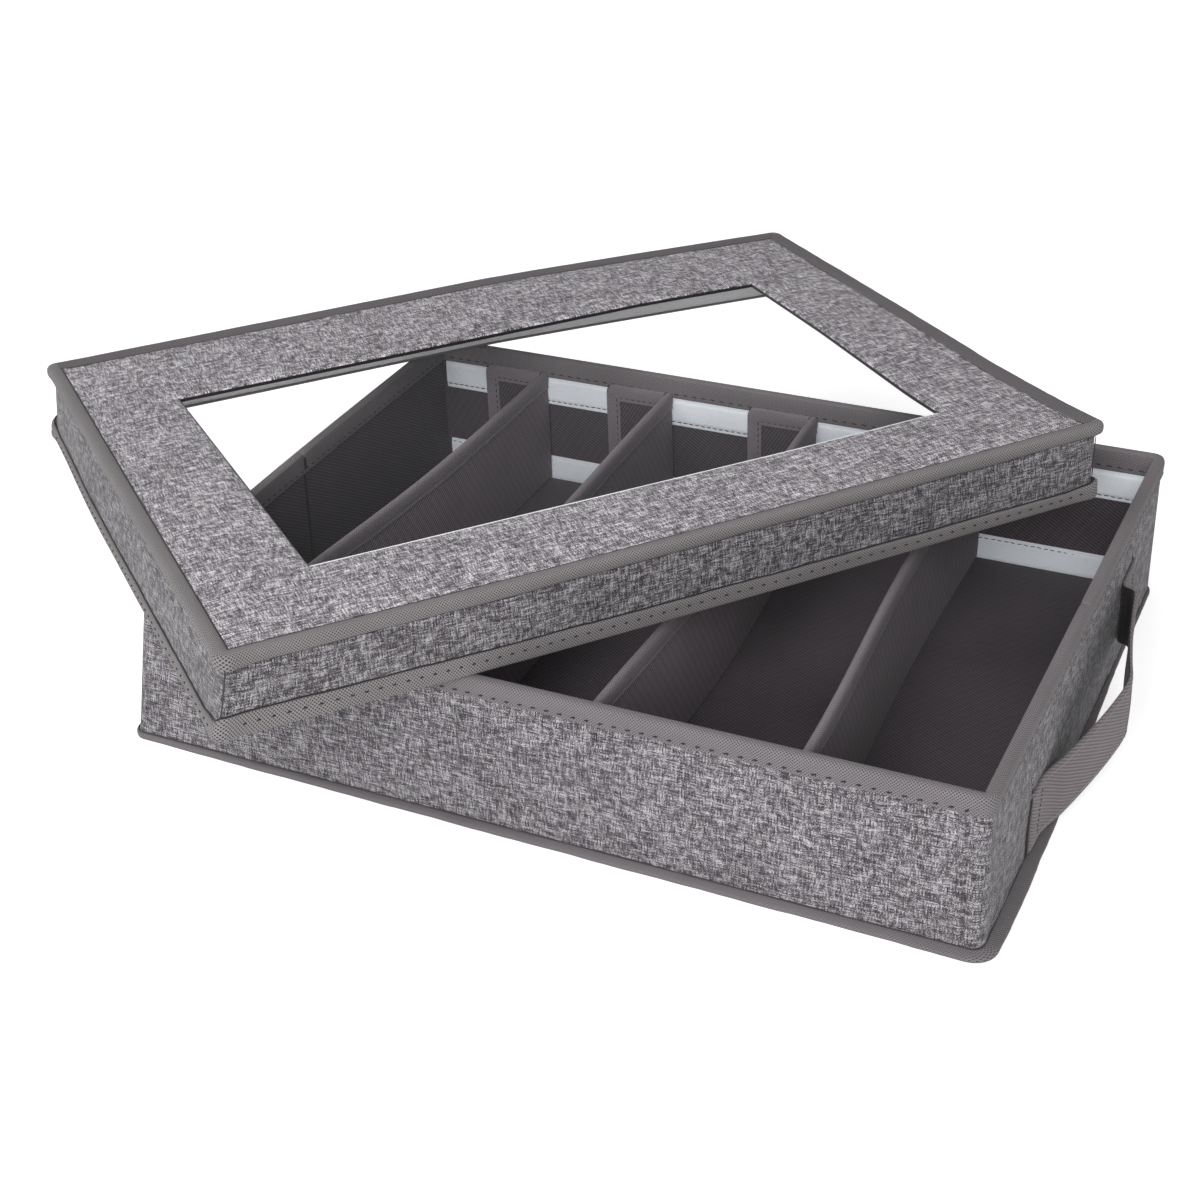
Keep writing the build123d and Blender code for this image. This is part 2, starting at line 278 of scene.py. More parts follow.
def makeHooks(name):
    shader = Shader(name)
    u, v = shader.across()
    rows = ((u * (2 * math.pi / 1.3)).cos() * (v * (2 * math.pi / 1.1)).cos()).step(-0.1, 0.6)
    return shader.finish(shader.tint((0.05, 0.05, 0.055), 0.6 + rows * 0.8), 0.5, rows, 0.5, 0.9)


def makeFilm(name):
    # clear film: nearly see-through face on; at a slant more of its white colour shows, a painted reflection
    # beside the real gloss of its surface
    shader = Shader(name)
    slant = shader.node("ShaderNodeFresnel", values=[1.35])
    u, v = shader.across()
    wave = shader.noise(u / 55, v / 55, 2.0, 1.0)
    return shader.finish((0.96, 0.98, 1.0, 1), 0.06, wave, 1.2, 0.25, alpha=slant * 0.16 + 0.004)


linenFinish = makeLinen("linenBox", 0.64, 0.0)
# the lid's top is a lighter copy of the box's linen, painted light where light falls on the top; its skirt is
# a darker copy, painted shade on the skirt
litLidLinenFinish = makeLinen("linenLidPaintedLight", 1.05, 31.0)
shadedSkirtLinenFinish = makeLinen("linenSkirtPaintedShade", 0.56, 43.0)
rimFinish = makeTape("rimTape", (0.225, 0.205, 0.217), 0.2, 0.0)
lidTapeFinish = makeTape("lidTape", (0.26, 0.242, 0.245), 0.08, 4.0)
# a darker copy of the lid's tape: painted shade on the back and right sides of the lid's edge, which face
# away from the light
shadedTapeFinish = makeTape("lidTapeShaded", (0.15, 0.135, 0.145), 0.3, 4.0)
baseTapeFinish = makeTape("baseTape", (0.2, 0.183, 0.195), 0.35, 8.0)
liningFinish = makeRibbed("lining", (0.085, 0.072, 0.083), 1.6, 0.5, 0.0)
panelFinish = makeRibbed("panelCloth", (0.23, 0.198, 0.222), 1.7, 0.65, 6.0)
lidInsideFinish = makeRibbed("lidInside", (0.95, 0.95, 0.96), 1.2, 0.04, 9.0)
panelTapeFinish = makeTape("panelTape", (0.24, 0.212, 0.235), 0.4, 12.0)
loopFinish = makeLoop("loopTape", (0.9, 0.95, 1.0))
webbingFinish = makeWebbing("webbing")
# near-black: the real thread of the stitches, and also painted shade on the sheets in the slits, the window's
# cut edge, the lining's creases and the seams' gaps
darkThreadAndShade = makeThread("darkThreadAndShade", (0.014, 0.012, 0.014))
greyThread = makeThread("greyThread", (0.2, 0.185, 0.19))
# dark grey: the thread of the lid's corner seams, and the line of thread and painted shade along the floor
# tape's seam
seamThreadAndShade = makeThread("seamThreadAndShade", (0.05, 0.045, 0.05))
# a near-black copy of the webbing: painted shade on the strap's inner faces
webbingShadedFace = makeThread("webbingShadedFace", (0.012, 0.01, 0.012))
paleThread = makeThread("paleThread", (0.42, 0.39, 0.41))
boardFinish = makeBoard("chipboard", (0.3, 0.25, 0.2))
hookFinish = makeHooks("hookTape")
filmFinish = makeFilm("windowFilm")
print("finishes made")


# mesh helpers
def ripple(along, total, length, seed=0.0):
    # an irregular wave between about -1 and 1 that closes on itself after total
    waves = max(1, round(total / length))
    turn = 2 * math.pi * along / total
    return (
        np.sin(turn * waves + seed)
        + 0.6 * np.sin(turn * round(waves * 1.7 + 1) + 2.3 * seed + 1.0)
        + 0.4 * np.sin(turn * round(waves * 2.9 + 2) + 0.7 * seed)
    ) / 2.0


def bell(distance, width):
    # 1 at no distance, falling to nothing beyond about twice the width
    return np.exp(-((distance / width) ** 2))


def softened(values, reach):
    # each value round a ring, averaged with its neighbours
    return sum(np.roll(values, k) for k in range(-reach, reach + 1)) / (2 * reach + 1)


def softLine(points, radius, steps=3):
    # a line through points, with its corners rounded
    points = [np.array(p, float) for p in points]
    line = [points[0]]
    for before, at, after in zip(points, points[1:], points[2:]):
        first = at + (before - at) * min(0.45, radius / max(1e-6, np.linalg.norm(before - at)))
        last = at + (after - at) * min(0.45, radius / max(1e-6, np.linalg.norm(after - at)))
        for k in range(steps + 1):
            t = k / steps
            line.append((1 - t) ** 2 * first + 2 * t * (1 - t) * at + t * t * last)
    line.append(points[-1])
    return np.array(line)


creaseSteps = (-2.4, -1.4, -0.7, 0.0, 0.7, 1.4, 2.4)
leastStep = 0.15


def sideMarks(half, step, creases):
    # places along a side, every step mm and closer together at its creases
    count = max(2, round(2 * half / step))
    marks = list(np.linspace(-half, half, count + 1))
    marks += [e + d for e in creases for d in creaseSteps if abs(e + d) < half]
    marks = sorted(marks)
    return np.array([m for k, m in enumerate(marks) if k == 0 or m - marks[k - 1] > leastStep])


def ease(value, low, high):
    # 0 below low, 1 above high, smooth between them
    share = np.clip((value - low) / (high - low), 0, 1)
    return share * share * (3 - 2 * share)


slump = {
    "inX": 10.0, "inY": 9.0, "corner": (-200, -150), "height": 76.0,
    # how far the lean reaches along each wall, and where it starts beside the wall
    "decayX": 100.0, "decayY": 45.0, "besideX": (-192, -145), "besideY": (-142, -100),
    "slide": 15.0,  # how far the dividers slide, so they lean as if they had gone that far to the left
}


def slumpBox(points, ahead=0.0):
    # the soft front left corner leans in towards its top
    x, y, z = points.T
    share = np.clip(z / slump["height"], 0, 1.05)
    x = x - ahead
    fromX, fromY = (x - slump["corner"][0]).clip(0), (y - slump["corner"][1]).clip(0)
    dx = slump["inX"] * np.exp(-fromY / slump["decayX"]) * (1 - ease(x, *slump["besideX"])) * share
    dy = slump["inY"] * np.exp(-fromX / slump["decayY"]) * (1 - ease(y, *slump["besideY"])) * share
    return np.column_stack([x + ahead + dx, y + dy, z - (dx * dx + dy * dy) * share / (2 * slump["height"])])


def slumpSliding(points):
    return slumpBox(points, slump["slide"])


class Ring:
    # a rounded rectangle, run anticlockwise from the back left corner
    def __init__(self, length, width, radius, step=3.6, creases=None, corner=6, counts=None):
        creases = creases or {}
        a, b = length / 2 - radius, width / 2 - radius
        points, normals, sides = [], [], []
        plan = [
            ("left", (-1, 0), (0, -1), b, length / 2, (-a, -b), math.pi),
            ("front", (0, -1), (1, 0), a, width / 2, (a, -b), 1.5 * math.pi),
            ("right", (1, 0), (0, 1), b, length / 2, (a, b), 0.0),
            ("back", (0, 1), (-1, 0), a, width / 2, (-a, b), 0.5 * math.pi),
        ]
        for name, out, way, half, reach, centre, angle in plan:
            if counts:
                marks = np.linspace(-half, half, counts[name in ("left", "right")] + 1)
            else:
                marks = sideMarks(half, step, creases.get(name, ()))
            for m in marks:
                points.append((out[0] * reach + way[0] * m, out[1] * reach + way[1] * m))
                normals.append(out)
                sides.append(name)
            for k in range(1, corner):
                turn = angle + 0.5 * math.pi * k / corner
                normal = (math.cos(turn), math.sin(turn))
                points.append((centre[0] + radius * normal[0], centre[1] + radius * normal[1]))
                normals.append(normal)
                sides.append("corner")
        self.points = np.array(points)
        self.normals = np.array(normals)
        self.sides = np.array(sides)
        self.along = runLengths(np.vstack([self.points, self.points[:1]]))
        self.total = self.along[-1]
        inX = length / 2 - np.abs(self.points[:, 0])
        inY = width / 2 - np.abs(self.points[:, 1])
        self.fromCorner = np.maximum(inX, inY)  # how far a place on the ring is from its nearest corner

    def row(self, out, up):
        out = np.broadcast_to(out, len(self.points))
        up = np.broadcast_to(up, len(self.points))
        flat = self.points + self.normals * out[:, None]
        return np.column_stack([flat, up])

    def ripple(self, length, seed=0.0):
        return ripple(self.along[:-1], self.total, length, seed)

    def spread(self, table, values):
        # values along some sides, from a table of places in mm from each side's middle and the values there
        for side, (places, found) in table.items():
            at = self.sides == side
            values[at] = np.interp(self.points[at, int(side in ("left", "right"))], places, found)
        return values

    def at(self, side, place, width):
        # 1 at a place on one side, in mm from its middle, and 0 away from it
        return bell(self.points[:, int(side in ("left", "right"))] - place, width) * (self.sides == side)


def makeMesh(name, points, faces, maps, smooth=40.0, shape=None):
    # points and maps are in millimetres, and shape is a function that lays the points where they belong
    mesh = bpy.data.meshes.new(name)
    points = np.asarray(points, float)
    if shape:
        points = shape(points)
    points = points * mm
    mesh.from_pydata(points.tolist(), [], faces)
    layer = mesh.uv_layers.new(name="cloth")
    layer.data.foreach_set("uv", (np.asarray(maps, float) * mm).ravel())
    mesh.polygons.foreach_set("use_smooth", [True] * len(mesh.polygons))
    mesh.set_sharp_from_angle(angle=math.radians(smooth))
    mesh.update()
    piece = bpy.data.objects.new(name, mesh)
    bpy.context.scene.collection.objects.link(piece)
    return piece


def runLengths(line):
    # the running length at each point of a line
    return np.concatenate([[0], np.cumsum(np.linalg.norm(np.diff(line, axis=0), axis=1))])


def gridFaces(high, wide, closed, mapAt):
    # the faces between rows of points, and the place on the cloth of each of their corners
    faces, maps = [], []
    for i in range(high - 1):
        for j in range(wide if closed else wide - 1):
            n = (j + 1) % wide
            faces.append((i * wide + j, i * wide + n, (i + 1) * wide + n, (i + 1) * wide + j))
            maps += [mapAt(i, j), mapAt(i, j + 1), mapAt(i + 1, j + 1), mapAt(i + 1, j)]
    return faces, maps


def sheet(name, rows, along, closed=True, flatMap=None, shift=0.0, **options):
    # rows of points become a skin: along is the running length over a row, and across follows from the rows
    rows = np.asarray(rows, float)
    high, wide = rows.shape[:2]
    across = runLengths(rows[:, wide // 2]) + shift
    if flatMap:
        faces, maps = gridFaces(high, wide, closed, lambda i, j: flatMap(rows[i, j % wide]))
    else:
        faces, maps = gridFaces(high, wide, closed, lambda i, j: (along[j], across[i]))
    return makeMesh(name, rows.reshape(-1, 3), faces, maps, **options)


def sweep(name, stations, section, **options):
    # a closed section, or one for each station, carried along stations of (place, outward, up)
    sections = section if np.ndim(section) == 3 else [section] * len(stations)
    rows = []
    for (place, out, up), loop in zip(stations, sections):
        place, out, up = np.array(place), np.array(out), np.array(up)
        rows.append([place + out * a + up * b for a, b in loop])
    rows = np.array(rows, float)
    count, around = rows.shape[:2]
    along = runLengths(rows[:, 0])
    across = runLengths(np.vstack([rows[0], rows[0][:1]]))
    faces, maps = gridFaces(count, around, True, lambda i, j: (along[i], across[j]))
    faces.append(tuple(range(around)))
    maps += [(0.0, across[j]) for j in range(around)]
    faces.append(tuple((count - 1) * around + j for j in reversed(range(around))))
    maps += [(along[-1], across[j]) for j in reversed(range(around))]
    piece = makeMesh(name, rows.reshape(-1, 3), faces, maps, **options)
    form = bmesh.new()
    form.from_mesh(piece.data)
    bmesh.ops.recalc_face_normals(form, faces=form.faces)
    form.to_mesh(piece.data)
    form.free()
    return piece


def stitches(name, seams, shape=None):
    # seams lists (middle, direction, outward, half length, half width), one thread stitch each
    turns = [2 * math.pi * k / 6 for k in range(6)]
    rings = [(-1.0, 0.25), (-0.7, 0.8), (0.0, 1.0), (0.7, 0.8), (1.0, 0.25)]
    flatness = 0.8
    points, faces, maps = [], [], []
    for middle, way, out, reach, girth in seams:
        middle, way, out = np.array(middle, float), np.array(way, float), np.array(out, float)
        way = way / np.linalg.norm(way)
        side = np.cross(way, out)
        side = side / max(1e-9, np.linalg.norm(side))
        out = np.cross(side, way)
        start = len(points)
        for t, fat in rings:
            for turn in turns:
                around = out * math.sin(turn) * flatness + side * math.cos(turn)
                points.append(middle + way * reach * t + around * girth * fat)
        for i in range(len(rings) - 1):
            for j in range(6):
                n = (j + 1) % 6
                here, there = start + i * 6, start + (i + 1) * 6
                faces.append((here + j, there + j, there + n, here + n))
                first, last = rings[i][0] * reach, rings[i + 1][0] * reach
                maps += [(first, j * 0.3), (last, j * 0.3), (last, (j + 1) * 0.3), (first, (j + 1) * 0.3)]
        faces.append(tuple(start + j for j in range(6)))
        faces.append(tuple(start + 24 + j for j in reversed(range(6))))
        maps += [(0.0, 0.0)] * 12
    return makeMesh(name, points, faces, maps, 80.0, shape)


def ringStitches(ring, row, side, spacing, reach, girth, tilt, skip=6.0):
    # stitches along a ring at a row of points, every spacing mm, on its outer side (1) or its inner (-1)
    found = []
    row = np.asarray(row)
    closed = np.vstack([row, row[:1]])
    normals = np.vstack([ring.normals, ring.normals[:1]])
    count = int(ring.total // spacing)
    for k in range(count):
        s = (k + 0.5) * ring.total / count
        j = int(np.searchsorted(ring.along, s)) - 1
        t = (s - ring.along[j]) / (ring.along[j + 1] - ring.along[j])
        if ring.fromCorner[j] < skip:
            continue
        place = closed[j] * (1 - t) + closed[j + 1] * t
        out = normals[j] * (1 - t) + normals[(j + 1) % len(normals)] * t
        way = closed[j + 1] - closed[j]
        away = np.array([out[0], out[1], 0.0]) * side
        found.append((place + away * girth * 0.35, way + np.array([0, 0, tilt]), away, reach, girth))
    return found


def dress(piece, finish, slotName, body, *nodes):
    # a piece's material, its slot (not used), the body that it rides on and the nodes that it replaces
    piece.data.materials.clear()
    piece.data.materials.append(finish)
    if nodes:
        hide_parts(*nodes)
    if body:
        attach(piece, body)
    return piece


# box: the linen cover, the tapes round its rim and floor, and its lining
box = {
    "length": 400.0, "width": 300.0, "corner": 5.0, "top": 75.0, "underside": 0.8, "gridStep": 3.4,
    "bulge": 1.1, "seamFromCorner": 8.0, "slitReach": 88.6, "slitLow": 12.0, "slitHigh": 46.5,
}
sides4 = ("front", "back", "left", "right")
seamPlace = box["length"] / 2 - box["seamFromCorner"]
slits = (-box["slitReach"], box["slitReach"])
boxRing = Ring(
    box["length"], box["width"], box["corner"], box["gridStep"],
    {"front": [seamPlace], "back": [seamPlace], "left": [*slits, 0.0], "right": [*slits, 0.0]},
)


def wallOut(ring, z):
    # how far the linen stands off its board at a height: a belly, puckers at its hems, the seam and the slits
    side = ease(ring.fromCorner, 4, 34)
    belly = box["bulge"] * math.sin(math.pi * min(1, max(0, (z - 1) / 68))) ** 0.7
    out = belly * side + 0.22 * ring.ripple(70, z * 0.03) * side
    out += 0.26 * ring.ripple(11, 2.0) * bell(z - 66.5, 6.0)
    out += 0.2 * ring.ripple(13, 4.0) * bell(z - 3.0, 6.0)
    seam = (ring.at("front", seamPlace, 0.8) + ring.at("back", -seamPlace, 0.8)) * 0.65
    fold = (ring.at("front", seamPlace - 1.8, 1.1) + ring.at("back", -seamPlace + 1.8, 1.1)) * 0.5
    out += (fold - seam) * min(1, max(0, (70 - z) / 4))
    slit = sum(ring.at(s, y, 0.9) for s in ("left", "right") for y in slits)
    return out - 0.6 * slit * (box["slitLow"] < z < box["slitHigh"])


heights = [box["underside"], *np.linspace(2, 11, 5), *np.linspace(12.3, 46.3, 14), *np.linspace(48, 69, 9)]
rows = [boxRing.row(-0.7, box["underside"])] + [boxRing.row(wallOut(boxRing, z), z) for z in heights]
rows += [boxRing.row(0.0, z) for z in (72, box["top"])]
linenCover = sheet("linenCover", rows, boxRing.along, shape=slumpBox)
dress(linenCover, linenFinish, "outer_fabric", "root", "outer_cover")

rim = {"lowOut": 67.2, "lowIn": 64.95, "top": 76.1, "stitchOut": 69.0, "stitchIn": 67.2}


def rimRow(out, up, swell=0.0, seed=0.0):
    # a row of the rim's tape, which swells unevenly along the rim
    wave = boxRing.ripple(38, seed) * 0.16 + boxRing.ripple(9, seed + 1) * 0.09
    return boxRing.row(out + swell * (1 + wave), up)


lowEdge = boxRing.ripple(42, 1.0) * 0.35 + boxRing.ripple(10, 3.0) * 0.15
notch = boxRing.at("left", 0.0, 1.3) + boxRing.at("right", 0.0, 1.3)
stitchRow, innerStitchRow = 3, 14
rows = [rimRow(*row) for row in (
    (0.1, rim["lowOut"] + 0.5 + lowEdge),
    (0.7, rim["lowOut"] + lowEdge, 0.2, 1.0),
    (0.85, rim["lowOut"] + 0.7 + lowEdge, 0.25, 1.0),
    (0.7, rim["stitchOut"] + lowEdge * 0.6, 0.1, 2.0),
    (0.9, 70.4, 0.2, 3.0), (0.95, 72.4, 0.25, 4.0), (0.85, 74.3, 0.2, 4.0), (0.4, 75.5, 0.1, 4.0),
    (-0.4, 76.0 - notch * 0.6),
    (-1.9, rim["top"] - notch),
    (-3.4, 75.95 - notch * 1.2),
    (-4.25 + notch * 0.6, 75.3 - notch),
    (-4.5 + notch, 73.6, -0.1, 5.0),
    (-4.6 + notch, 70.2, -0.15, 5.0),
    (-4.45, rim["stitchIn"] + lowEdge * 0.4, -0.05, 6.0),
    (-4.6, rim["lowIn"] + 0.7 - lowEdge * 0.5, -0.1, 6.0),
    (-4.5, rim["lowIn"] - lowEdge * 0.3),
    (-4.0, rim["lowIn"] + 0.4),
)]
rimTape = sheet("rimTape", rows, boxRing.along, shape=slumpBox)
dress(rimTape, rimFinish, "binding_tape", "root", *[f"rim_binding_{s}" for s in sides4])
seams = ringStitches(boxRing, rows[stitchRow], 1, 6.0, 1.15, 0.46, 0.7)
faint = [seam for seam in seams if abs(seam[2][0]) > 0.7]  # those on the short walls
seams = [seam for seam in seams if abs(seam[2][0]) <= 0.7]
seams += ringStitches(boxRing, rows[innerStitchRow], -1, 5.2, 1.3, 0.32, 0.35, 8.0)
dress(stitches("rimStitches", seams, slumpBox), darkThreadAndShade, "binding_tape", "root")
dress(stitches("rimStitchesSide", faint, slumpBox), greyThread, "binding_tape", "root")

# how far the tape round the floor stands out, by the place along each side
flange = {
    "front": ((-200, -163, -18, 169, 200), (1.3, 2.4, 3.8, 4.6, 5.6)),
    "right": ((-150, -105, -53, 27, 70, 150), (6.0, 6.6, 5.6, 3.4, 1.6, 1.2)),
    "back": ((-200, 200), (2.4, 1.6)), "left": ((-150, 150), (1.1, 2.2)),
}
flangeThick = ((-200, 200), (2.9, 3.0))  # from left to right
reach = boxRing.spread(flange, np.zeros(len(boxRing.points)))
known = np.flatnonzero(boxRing.sides != "corner")
rest = np.flatnonzero(boxRing.sides == "corner")
reach[rest] = np.interp(boxRing.along[rest], boxRing.along[known], reach[known], period=boxRing.total)
reach = reach + (boxRing.ripple(60, 2.0) * 0.25 + boxRing.ripple(14, 5.0) * 0.08)
thick = np.interp(boxRing.points[:, 0], *flangeThick)
profile = ((0.35, 0.98), (0.7, 0.92), (0.93, 0.75), (1.0, 0.45), (0.95, 0.15), (0.8, 0.02), (0.4, 0.012))
rows = [boxRing.row(-0.2, thick), boxRing.row(0.4, thick + 0.05)]
rows += [boxRing.row(0.4 + (reach - 0.4) * share, thick * up) for share, up in profile]
rows += [boxRing.row(-0.4, 0.03)]
baseTape = sheet("baseTape", rows[::-1], boxRing.along)
dress(baseTape, baseTapeFinish, "binding_tape", "root", *[f"base_binding_{s}" for s in sides4])


def seamLineAndShade(name, ring, out, up, girth, finish, body, shape=None):
    # a thin near-black line lying in a seam: partly its thread, partly painted shade in the seam's gap
    turns = np.linspace(-0.5 * math.pi, 1.5 * math.pi, 7)
    rows = [ring.row(out + girth * math.cos(a), up + girth * math.sin(a)) for a in turns]
    dress(sheet(name, rows, ring.along, shape=shape), finish, "binding_tape", body)


# the dark line along the floor tape's seam: thread and painted shade in its gap
seamLineAndShade("baseSeam", boxRing, 0.25, thick + 0.35, 0.35, seamThreadAndShade, "root")

lining = {"length": 392.4, "width": 292.4, "corner": 1.6, "bottom": 0.9, "gridStep": 4.4, "creaseTop": 73.5}
creases = {"left": [0.0], "right": [0.0]}
insideRing = Ring(lining["length"], lining["width"], lining["corner"], lining["gridStep"], creases, 4)


def liningOut(z):
    # how far the lining stands off its board, with the crease at mid depth of the short walls
    out = 0.14 * insideRing.ripple(60, z * 0.02)
    crease = insideRing.at("left", 0.0, 1.1) + insideRing.at("right", 0.0, 1.1)
    ridge = sum(insideRing.at(s, d, 1.6) for s in ("left", "right") for d in (-3.2, 3.2))
    return out * np.clip(insideRing.fromCorner / 20, 0, 1) + 1.1 * crease - 0.35 * ridge


rows = [insideRing.row(liningOut(z), z) for z in np.linspace(box["top"], lining["bottom"], 14)]
rows += [insideRing.row(0.55, lining["bottom"])]
wallLining = sheet("wallLining", rows, insideRing.along, shape=slumpBox)
dress(wallLining, liningFinish, "lining_fabric", "root", "wall_lining")

# a near-black line down each crease, painted shade in the fold, which comes forward over the tape at its top
for side, sign in (("left", -1), ("right", 1)):
    levels = np.linspace(1.5, lining["creaseTop"], 15)
    stations = [((sign * (lining["length"] / 2 - 0.05), 0.0, z), (-sign, 0, 0), (0, 1, 0)) for z in levels]
    loop = [(0.0, 0.75), (0.25, 0.6), (0.32, 0.0), (0.25, -0.6), (0.0, -0.75)]
    loops = [[(a + (0.7 if k > 12 else 0.0), b) for a, b in loop] for k in range(len(levels))]
    crease = sweep(f"creaseShadeLine_{side}", stations, loops, shape=slumpBox)
    dress(crease, darkThreadAndShade, "lining_fabric", "root")


def clothPad(name, length, width, radius, low, high, wave, step=9.0, flip=False):
    # a flat cloth with its border turned down, or up when it is flipped
    spans = []
    for size in (length, width):
        marks = list(np.linspace(-size / 2, size / 2, round(size / step) + 1))
        first, last = marks[0], marks[-1]
        spans.append(np.array([first, first, first + 0.5, *marks[1:-1], last - 0.5, last, last]))
    xs, ys = spans
    rows = []
    for i, y in enumerate(ys):
        line = []
        for j, x in enumerate(xs):
            edge = min(i, j, len(ys) - 1 - i, len(xs) - 1 - j)
            z = low if edge == 0 else high - 0.25 * (edge == 1) * (1 if high > low else -1)
            if edge > 2:
                z += wave * (math.sin(x / 37 + y / 51) + 0.6 * math.sin(x / 23 - y / 29 + 1))
            cornerX, cornerY = length / 2 - radius, width / 2 - radius
            dx, dy = abs(x) - cornerX, abs(y) - cornerY
            if dx > 0 and dy > 0 and math.hypot(dx, dy) > radius:
                fit = radius / math.hypot(dx, dy)
                x, y = math.copysign(cornerX + dx * fit, x), math.copysign(cornerY + dy * fit, y)
            line.append((x, y, z))
        rows.append(line)
    return sheet(name, rows[::-1] if flip else rows, xs, closed=False, flatMap=lambda p: (p[0], p[1] - p[2]))


floorCloth = clothPad("floorCloth", 390.0, 290.0, 1.0, 3.2, 3.75, 0.05)
dress(floorCloth, liningFinish, "lining_fabric", "root", "floor_lining")
underCloth = clothPad("underCloth", 400.0, 300.0, 5.0, 0.8, 0.04, 0.0, 12.0, True)
dress(underCloth, linenFinish, "outer_fabric", "root", "base_cover")


board = {"half": 1.2, "low": 0.8, "high": 75.2, "step": 9}


def wallBoard(node, middle, out, reach):
    # a board whose mesh is fine enough to lean with its wall
    way = (1, 0) if out[1] else (0, 1)
    stations = [
        ((middle[0] + way[0] * s, middle[1] + way[1] * s, 0.0), (*out, 0.0), (0, 0, 1))
        for s in np.linspace(-reach, reach, round(2 * reach / board["step"]))
    ]
    levels = np.linspace(board["low"], board["high"], 9)
    loop = [(-board["half"], z) for z in levels] + [(board["half"], z) for z in levels[::-1]]
    piece = sweep(node.replace("_", ""), stations, loop, shape=slumpBox)
    dress(piece, boardFinish, "board", "root", node)


wallBoard("front_wall_board", (0, -148), (0, -1), 194)
wallBoard("left_wall_board_front", (-198, -72.75), (-1, 0), 71.25)
wallBoard("left_wall_board_back", (-198, 72.75), (-1, 0), 71.25)
print("box dressed")


# pale loop tapes on the long walls
strips = {
    "bottoms": {"upper": 48.7, "lower": 1.1}, "width": 16.0, "gauge": 0.8, "reach": 194.2, "wall": 146.2,
    "fromEdge": 2.3, "stitch": 3.4,
}
for wall, way in (("back", 1), ("front", -1)):
    seams = []
    for band, low in strips["bottoms"].items():
        high = low + strips["width"]
        xs = np.linspace(-strips["reach"], strips["reach"], 98)
        sag = 0.05 * np.sin(xs / 23.0) + 0.035 * np.sin(xs / 9.0 + low)
        stations = [((x, way * (strips["wall"] - 0.02), 0.0), (0, -way, 0), (0, 0, 1)) for x in xs]
        loop = softLine([
            (0.0, low + 0.2), (0.4, low + 0.05), (0.5, low + 1.7), (0.42, low + 2.3), (0.85, low + 3.3),
            (0.9, low + 8.0), (0.85, high - 2.6), (0.5, high - 1.6), (0.55, high - 0.05), (0.0, high - 0.2),
        ], 0.6, 2)
        loops = [[(a + dip * (a > 0.3), b) for a, b in loop] for dip in sag]
        strip = sweep(f"{wall}Strip_{band}", stations, loops, shape=slumpBox)
        nodes = [f"{wall}_wall_strips"] if band == "upper" else []
        dress(strip, loopFinish, "loop_tape", "root", *nodes)
        stitchLine = low + strips["fromEdge"] if band == "upper" else high - strips["fromEdge"]
        for k in range(int(2 * strips["reach"] // strips["stitch"])):
            x = -strips["reach"] + 2 + strips["stitch"] * k
            middle = (x, way * (strips["wall"] - 0.62), stitchLine + 0.25 * math.sin(x / 17.0))
            seams.append((middle, (1, 0, 0.12 * (-1) ** k), (0, -way, 0), 1.35, 0.27))
    dress(stitches(f"{wall}StripStitches", seams, slumpBox), darkThreadAndShade, "loop_tape", "root")
print("loop tapes made")


# dividers with their folded tape and their flaps
divider = {
    # where each stands at the back wall, in the middle and at the front wall, as shares of the inside length
    "shares": [
        (-0.336, -0.339, -0.364), (-0.148, -0.138, -0.133), (0.059, 0.084, 0.079), (0.285, 0.291, 0.311),
    ],
    "insideLength": 392.4, "reach": 144.4, "bottom": 4.2, "top": 68.0, "half": 1.3, "tapeDrop": 9.0,
}
flapSize = {
    "length": 34.0, "gap": 2.2, "wall": 144.4, "thick": 1.2, "topTape": 9.0, "endTape": 8.0, "corner": 5.0,
    "stitch": 3.4,
}
hooks = {"levels": {"lower": (4.2, 16.1), "upper": (49.7, 63.7)}, "length": 20.0, "inset": 2.0}


def dividerLine(places):
    # the panel's plan, square to the long walls at both ends
    back, middle, front = places
    slope = 0.75 * (front - back)
    stations = []
    for y in np.linspace(divider["reach"], -divider["reach"], 60):
        t = (divider["reach"] - y) / divider["reach"]
        a, b, ma, mb = (back, middle, 0.0, slope) if t <= 1 else (middle, front, slope, 0.0)
        t = t if t <= 1 else t - 1
        x = (2 * t**3 - 3 * t**2 + 1) * a + (t**3 - 2 * t**2 + t) * ma
        x = x + (3 * t**2 - 2 * t**3) * b + (t**3 - t**2) * mb
        stations.append((x, y))
    stations = np.array(stations)
    ways = np.gradient(stations, axis=0)
    outs = np.column_stack([-ways[:, 1], ways[:, 0]])
    outs /= np.linalg.norm(outs, axis=1)[:, None]
    return [((x, y, 0.0), (o[0], o[1], 0.0), (0, 0, 1)) for (x, y), o in zip(stations, outs)]


